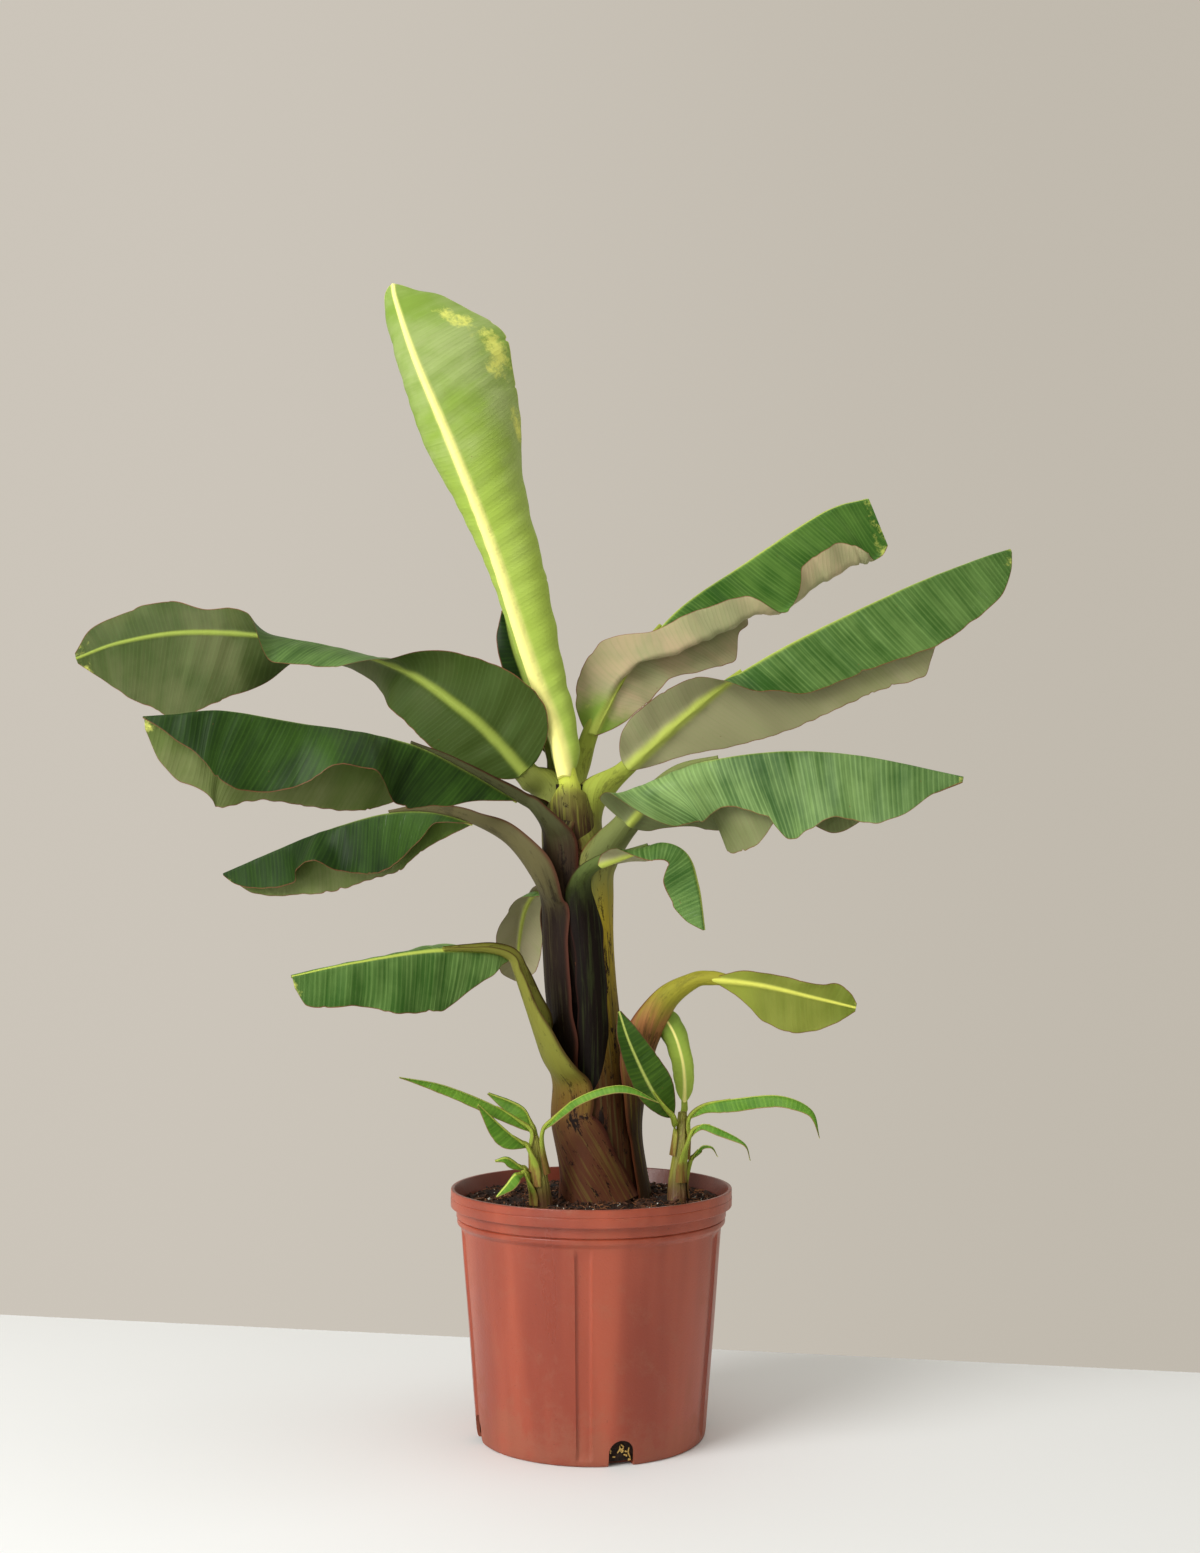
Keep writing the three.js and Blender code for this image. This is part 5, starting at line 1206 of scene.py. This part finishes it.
def soil():
    """Rings of points out to the wall at the bed's height, then down inside the wall to the floor."""
    reach = NECK - WALL - SOIL_CLEAR
    angle = round_angles(300)
    radius = np.linspace(1 * MM, reach, 80)[:, None]
    x, y, _ = np.moveaxis(around(radius, angle, 0 * radius * angle), -1, 0)
    top = np.stack([x, y, soil_height(x, y)], -1)
    levels = (BAND_FOOT, 0.05, 0.03, 0.02)
    side = np.array([
        (reach, BAND_TOP),
        *((wall_radius(z) - WALL - SOIL_CLEAR, z) for z in levels),
        (BASE_RADIUS - WALL - SOIL_CLEAR, WALL + SOIL_CLEAR),
        (1 * MM, WALL + SOIL_CLEAR),
    ])
    lumps = MM * waves(side[:, 1:] / MM, 14, 31, y=angle[None] * 112)
    inward = np.array([0, 0, 1, 1, 1, 1, 0])[:, None]
    lower = revolve(side, angle, (lumps - 0.9 * MM) * inward)
    vertices, faces = closed_tube(np.concatenate([top, lower]))
    piece = add_piece("soil_bed", vertices, faces, soil_finish(), "soil")
    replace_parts(piece, "potting_soil")
    return piece


def turns(rng, count, tilt):
    """Rotation matrices: any heading about the vertical after a small random tilt."""
    heading = rng.uniform(0, 2 * math.pi, count)
    lean, roll = rng.normal(0, tilt, (2, count))

    def about(a, i, j):
        m = np.zeros((count, 3, 3))
        m[:, [0, 1, 2], [0, 1, 2]] = 1
        m[:, i, i] = m[:, j, j] = np.cos(a)
        m[:, i, j] = -np.sin(a)
        m[:, j, i] = np.sin(a)
        return m

    return about(heading, 0, 1) @ about(lean, 0, 2) @ about(roll, 1, 2)


def on_soil(rng, count, clear_of):
    """Random places on the bed, none within a stem: rejected ones are drawn again by taking more."""
    reach = NECK - WALL - 5 * MM
    radius = reach * np.sqrt(rng.uniform(0, 1, count * 2))
    angle = rng.uniform(0, 2 * math.pi, count * 2)
    x, y = radius * np.cos(angle), radius * np.sin(angle)
    free = np.ones(count * 2, bool)
    for cx, cy, r in clear_of:
        free &= np.hypot(x - cx, y - cy) > r
    return x[free][:count], y[free][:count]


# A flake's eight corners, in halves of its size, and its six faces.
FLAKE = np.array([
    (-1, -0.5, -1), (1, -0.25, -1), (0.85, 0.35, -1), (-0.8, 0.5, -1),
    (-0.9, -0.4, 1), (0.9, -0.2, 1), (0.8, 0.3, 1), (-0.85, 0.4, 1),
]) / 2
FLAKE_FACES = np.array([
    (3, 2, 1, 0), (4, 5, 6, 7), (0, 1, 5, 4), (1, 2, 6, 5), (2, 3, 7, 6), (3, 0, 4, 7),
])
# The ground that each stem takes up: its middle and its radius.
CLEAR_OF = [(9 * MM, 0, 42 * MM), (-47 * MM, -59 * MM, 11 * MM), (84 * MM, -22 * MM, 11 * MM)]


def scatter(name, material, count, sizes, tilt, seed, lift=0.3):
    """Flakes on the bed: one box of eight corners, each copy scaled, turned and set down."""
    rng = np.random.default_rng(seed)
    x, y = on_soil(rng, count, CLEAR_OF)
    count = len(x)
    low, high = np.array(sizes) * MM
    scale = low + (high - low) * rng.uniform(0, 1, (count, 3)) ** 1.6
    shape = FLAKE * (1 + rng.normal(0, 0.12, (count, 8, 3)))
    corners = np.einsum("nij,nkj->nki", turns(rng, count, tilt), shape * scale[:, None])
    height = soil_height(x, y) + scale[:, 2] * lift + rng.uniform(0, 1.2 * MM, count)
    corners += np.stack([x, y, height], -1)[:, None]
    faces = (FLAKE_FACES + 8 * np.arange(count)[:, None, None]).reshape(-1, 4)
    return add_piece(name, corners.reshape(-1, 3), faces, material, "soil", angle=20)


def tubes(name, material, lines, radius, sides, slot):
    """Thin round strands, one ring of points square to the line at each of its stations."""
    turn = round_angles(sides)
    strands = []
    for line in lines:
        tangent = unit(np.gradient(line, axis=0))
        one = square_to(np.array([0.31, 0.17, 0.93]), tangent)
        two = np.cross(tangent, one)
        taper = radius * (1 - 0.6 * np.linspace(-1, 1, len(line)) ** 4)[:, None, None]
        ring = one[:, None] * np.cos(turn)[:, None] + two[:, None] * np.sin(turn)[:, None]
        strands.append(closed_tube(line[:, None] + ring * taper))
    return add_piece(name, *joined(strands), material, slot, angle=80)


def fibre_lines(count, seed):
    """Bent strands lying on the bed, each a short arc with a little rise at its middle."""
    rng = np.random.default_rng(seed)
    x, y = on_soil(rng, count, CLEAR_OF)
    t = np.linspace(-0.5, 0.5, 7)
    lines = []
    for cx, cy in zip(x, y):
        heading, length = rng.uniform(0, 2 * math.pi), rng.uniform(6, 20) * MM
        bow = rng.normal(0, 0.35) * length
        a, b = t * length, bow * (0.25 - t * t)
        px = cx + a * math.cos(heading) - b * math.sin(heading)
        py = cy + a * math.sin(heading) + b * math.cos(heading)
        rise = rng.uniform(0.4, 2.6) * MM * (1 - 3 * t * t)
        limit = (NECK - WALL - 3 * MM) / np.maximum(np.hypot(px, py), 1e-6)
        keep = np.minimum(limit, 1)
        px, py = px * keep, py * keep
        lines.append(np.stack([px, py, soil_height(px, py) + rise], -1))
    return lines


def drain_roots(seed):
    """Pale roots that wander over the soil behind the front drain."""
    rng = np.random.default_rng(seed)
    t = np.linspace(0, 1, 12)
    lines = []
    for _ in range(9):
        across = rng.uniform(-10, 10) * MM + rng.uniform(-6, 6) * MM * t
        tall, rate, phase = rng.uniform(0.6, 1.6), rng.uniform(4, 9), rng.uniform(0, 6)
        across = across + tall * MM * np.sin(t * rate + phase)
        z = rng.uniform(5, 14) * MM + t * rng.uniform(-2, 10) * MM
        angle = DRAIN_AZIMUTH + across / BASE_RADIUS
        radius = wall_radius(z) - WALL - 1.0 * MM
        lines.append(around(radius, angle, z))
    return lines


def bed():
    """Bark, crumbs, grit and fibres on the soil, and the roots at the front drain."""
    bark = litter_finish("bark_chips", rgb(30, 20, 15), rgb(96, 60, 40))
    fibre = litter_finish("coir_fibres", rgb(84, 50, 30), rgb(170, 112, 70))
    grit = litter_finish("white_grit", rgb(170, 165, 150), rgb(225, 222, 210))
    root = litter_finish("roots", rgb(150, 112, 52), rgb(206, 172, 96), roughness=0.6)
    scatter("bark", bark, 900, [(3, 2, 0.8), (13, 6, 3)], 0.35, 41)
    scatter("crumbs", bark, 1500, [(1, 1, 0.8), (3.5, 3, 2.4)], 0.8, 42)
    scatter("grit", grit, 170, [(0.8, 0.8, 0.6), (2.4, 2, 1.6)], 0.8, 43, lift=0.5)
    tubes("fibres", fibre, fibre_lines(300, 44), 0.35 * MM, 3, "soil")
    tubes("roots", root, drain_roots(45), 0.7 * MM, 6, "soil")


# ------------------------------------------------------------------ how each leaf looks
# Lengths in mm and angles in degrees.
# grid: stations along and cells across each half of the blade. pleat, ripple: heights of the folds
# along the side veins and of the margin's waves, each with its length. ragged: how far the margin
# wanders, as a share of the width. ridge: the midrib's height at its foot and at its tip.
# base_round: how far along the blade opens. tears: how many notches each margin has and how deep,
# as a share of the width. scars: share along, share of the width (near half negative), reach along
# and out, and strength. tip_scorch: the same strength at the tip.
# stalk_grid: stations along the stalk and points across it. rib_shares: where it follows the rib,
# and rib_radius: its radius at the last of them. taper: how late it narrows on leaving the stem.
# stout: its thickness against the row's. wrap: the sheath's reach to each side, and foot_wrap: how
# much of that it gains at its foot. twist, deeper, sink: how far the foot is turned round the stem,
# carried down it and drawn in towards its axis. out: how far the sheath stands off the stem.
# fade: the share along where the sheath's colour starts to end, and over how much it ends.
BIG = dict(
    greens="mature", slot="leaf", stalk="left_dull", grid=(230, 34), pleat=0.7, pleat_length=34,
    ripple=2.0, ripple_length=70, ragged=0.008, ridge=(4.0, 0.9), rib_width=3.4, base_round=45,
    rib_shares=(0, 0.1, 0.22, 0.34), rib_radius=2.0, stalk_grid=(160, 41), tip_scorch=0.55,
    taper=1.1, wrap=60, foot_wrap=0.0, twist=0, deeper=0, sink=0, out=0, fade=None, stout=1.0,
    tears={"near": (4, 0.03), "far": (4, 0.03)}, scars=[],
)
SMALL = BIG | dict(
    greens="sucker", slot="sucker_leaf", stalk="sucker", grid=(90, 12), pleat=0.25, pleat_length=12,
    ripple=0.6, ripple_length=34, ridge=(1.1, 0.4), rib_width=1.0, rib_shares=(0, 0.12, 0.3),
    base_round=14, rib_radius=0.8, stalk_grid=(60, 21), tip_scorch=0.5, taper=0.6, wrap=35,
)
LOOKS = {
    "leaf_upright": BIG | dict(
        greens="fresh", slot="young_leaf", stalk="lime", ripple=1.0, pleat=0.45, base_round=30,
        rib_width=8.5, ridge=(6.0, 1.6), ragged=0.004, tip_scorch=0.3, wrap=70, deeper=40, sink=6,
        scars=[(0.8, -0.8, 40, 24, 0.85), (0.66, -0.9, 26, 20, 0.7), (0.9, -0.6, 20, 20, 0.7)],
    ),
    "leaf_narrow": BIG | dict(stalk="left_high"),
    "leaf_left_high": BIG | dict(
        greens="shaded", stalk="left_high", taper=1.5, ridge=(5.5, 1.0), rib_width=4.6, wrap=80,
        twist=50, deeper=50, sink=4, out=2, stout=1.45,
    ),
    "leaf_left_mid": BIG | dict(taper=1.5, twist=20, deeper=100, sink=9, out=4),
    "leaf_left_low": BIG | dict(
        stalk="left_old", taper=1.4, wrap=50, twist=-8, deeper=120, sink=9, stout=1.2,
    ),
    "leaf_left_small": BIG | dict(
        greens="bright", stalk="left_small", foot_wrap=-0.1, twist=60, base_round=25, rib_width=2.4,
        taper=0.9, deeper=16,
    ),
    "leaf_back": BIG | dict(greens="bright", stalk="left_old", deeper=60, sink=10),
    "leaf_right_high": BIG | dict(
        greens="rosy", stalk="right_top", ridge=(5.0, 1.4), rib_width=4.6, ragged=0.012, base_round=30,
        tears={"near": (14, 0.03), "far": (8, 0.05)}, scars=[(0.07, -0.5, 26, 20, 0.45)],
        wrap=75, deeper=60, sink=6,
    ),
    "leaf_right_top": BIG | dict(
        greens="bright", stalk="right_top", ridge=(6.0, 1.0), rib_width=6.0, base_round=28,
        wrap=70, taper=1.5, twist=-35, deeper=70, sink=6, out=1,
    ),
    "leaf_right_mid": BIG | dict(
        greens="deep", stalk="right_mid", ridge=(5.0, 1.2), taper=1.9, base_round=10, wrap=66,
        twist=-14, deeper=14, stout=1.5,
    ),
    "leaf_curled": BIG | dict(
        greens="bright", stalk="curled", grid=(150, 24), pleat=0.5, base_round=30, wrap=27, twist=-26,
        deeper=170, sink=7, out=-3.5,
    ),
    "leaf_right_small": BIG | dict(
        greens="golden", stalk="right_small", grid=(150, 24), ridge=(2.6, 0.8), rib_width=2.2,
        base_round=60, fade=(0.5, 0.25), wrap=34, deeper=12,
    ),
    "right_sucker_leaf_1": SMALL | dict(greens="sucker_dark", grid=(120, 16)),
    "right_sucker_leaf_2": SMALL | dict(greens="fresh", grid=(120, 16)),
}


# ------------------------------------------------------------------ the plant
def old_stem_finish():
    """Old sheaths: near-black brown and purple, greyed in long streaks, olive towards the crown."""
    r = Recipe("old_stem", IOR=1.2)
    along, around, _ = r.parts(r.surface())
    place = r.place()
    streak = r.mottle(along * 12, around * 260, 0.0, detail=5, roughness=0.65)
    cloud = r.noise(place, 18, detail=4)
    colour = r.blend(streak.rise(0.35, 0.68), rgb(9, 5, 4), rgb(34, 21, 15))
    tan = (cloud + streak * 0.4).rise(0.74, 0.92) * (1 - along.rise(0.07, 0.2))
    colour = r.blend(tan * 0.7, colour, rgb(132, 92, 62))
    crown = along.rise(0.43, 0.47)
    colour = r.blend(crown * (0.5 + streak * 0.5), colour, rgb(134, 128, 78))
    speckle = r.mottle(along * 120, around * 240, 5.0, roughness=0.7)
    colour = r.blend(speckle.rise(0.6, 0.7) * 0.8, colour, rgb(22, 14, 13))
    height = streak + speckle * 0.3
    return r.finish(colour, roughness=0.5 + streak * 0.25, height=height, depth=0.001)


def young_stem_finish():
    """Yellow-green streaks with a purplish foot."""
    r = Recipe("young_stem", IOR=1.45)
    along, around, _ = r.parts(r.surface())
    streak = r.mottle(along * 20, around * 500, 0.0, detail=4, roughness=0.6)
    colour = r.blend(streak.rise(0.3, 0.7), rgb(124, 104, 50), rgb(162, 166, 68))
    foot = (1 - along.rise(0.0, 0.035)) * streak.rise(0.2, 0.6)
    colour = r.blend(foot, colour, rgb(96, 52, 44))
    return r.finish(colour, roughness=0.45, height=streak, depth=0.0005)


def plant():
    """Each stem, and each leaf as a blade and a stalk, in place of its node."""
    old, young = old_stem_finish(), young_stem_finish()
    trunk = stem("pseudostem", STEMS["pseudostem"], old, "old_stem", 240, 180, 7, 61)
    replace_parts(trunk, "pseudostem")
    for name, seed in (("left_sucker", 71), ("right_sucker", 72)):
        rows = STEMS[name + "_stem"]
        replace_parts(stem(name, rows, young, "young_stem", 60, 48, 3, seed), name + "_stem")
    for number, (name, leaf) in enumerate(LEAVES.items()):
        look = LOOKS.get(name, SMALL)
        piece = blade(name, leaf, look, 100 + 7 * number)
        stalk(name, leaf, look, 103 + 7 * number)
        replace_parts(piece, name)


# ------------------------------------------------------------------ floor, light and camera
def stage_sheet(name, corners, material):
    """A flat sheet that is part of the studio, not of the plant."""
    mesh = bpy.data.meshes.new(name)
    mesh.from_pydata(corners, [], [(0, 1, 2, 3)])
    mesh.materials.append(material)
    placed(name, mesh)


def pale_floor():
    """A pale slab whose back edge runs just behind the pot."""
    reach, front, back_left, back_right = 4, -4.0, 1.13, -0.43
    corners = [(-reach, front, 0), (reach, front, 0), (reach, back_right, 0), (-reach, back_left, 0)]
    stage_sheet("floor", corners, Recipe("pale_floor", Roughness=0.7).finish(rgb(234, 236, 238)))


def plain_wall():
    """A glowing backdrop with painted shade: a little darker towards the right, away from the key
    light.
    """
    half, behind, low, high = 5, 3, -3, 6
    r = Recipe("plain_wall", Roughness=1.0, Emission_Strength=1.0)
    x, _, _ = r.parts(r.place())
    # Painted shade: the glow falls off towards the right.
    glow = r.blend(x.rise(-1.4, 1.6), rgb(202, 195, 184), rgb(191, 184, 172))
    r.feed(r.shader.inputs["Emission Color"], glow)
    corners = [(-half, behind, low), (half, behind, low), (half, behind, high), (-half, behind, high)]
    stage_sheet("wall", corners, r.finish(rgb(0, 0, 0)))


def area_light(name, place, target, size, power, colour):
    """A round lamp that faces a target: metres across, then watts."""
    light = bpy.data.lights.new(name, "AREA")
    light.shape, light.size, light.energy, light.color = "DISK", size, power, colour
    lamp = placed(name, light)
    lamp.location = place
    way = Vector(target) - Vector(place)
    lamp.rotation_euler = way.to_track_quat("-Z", "Y").to_euler()


def studio():
    """A broad key light from the left, a small low one on the pot, a top light and a pale sky."""
    middle = (0, 0, 0.6)
    area_light("key", (-2.1, -1.9, 1.9), middle, 2.0, 96, (1.0, 1.0, 0.98))
    area_light("low", (-1.3, -2.3, 0.5), (0, 0, 0.12), 0.5, 5, (1.0, 1.0, 1.0))
    area_light("top", (0.6, -0.4, 3.2), middle, 2.4, 22, (1.0, 1.0, 1.0))
    world = bpy.data.worlds.new("studio")
    world.use_nodes = True
    background = world.node_tree.nodes["Background"]
    background.inputs["Color"].default_value = rgb(200, 195, 182)
    background.inputs["Strength"].default_value = 0.72
    bpy.context.scene.world = world
    bpy.context.scene.view_settings.view_transform = "Standard"


def camera():
    """In front, near the middle of the plant's height, tipped a little upwards."""
    lens = bpy.data.cameras.new("camera")
    lens.lens, lens.sensor_width = 40.15, 36
    eye = placed("camera", lens)
    eye.location = (0.0086, -1.750, 0.510)
    eye.rotation_euler = (math.radians(94.47), 0, 0)
    bpy.context.scene.camera = eye


pot()
soil()
bed()
plant()
pale_floor()
plain_wall()
studio()
camera()
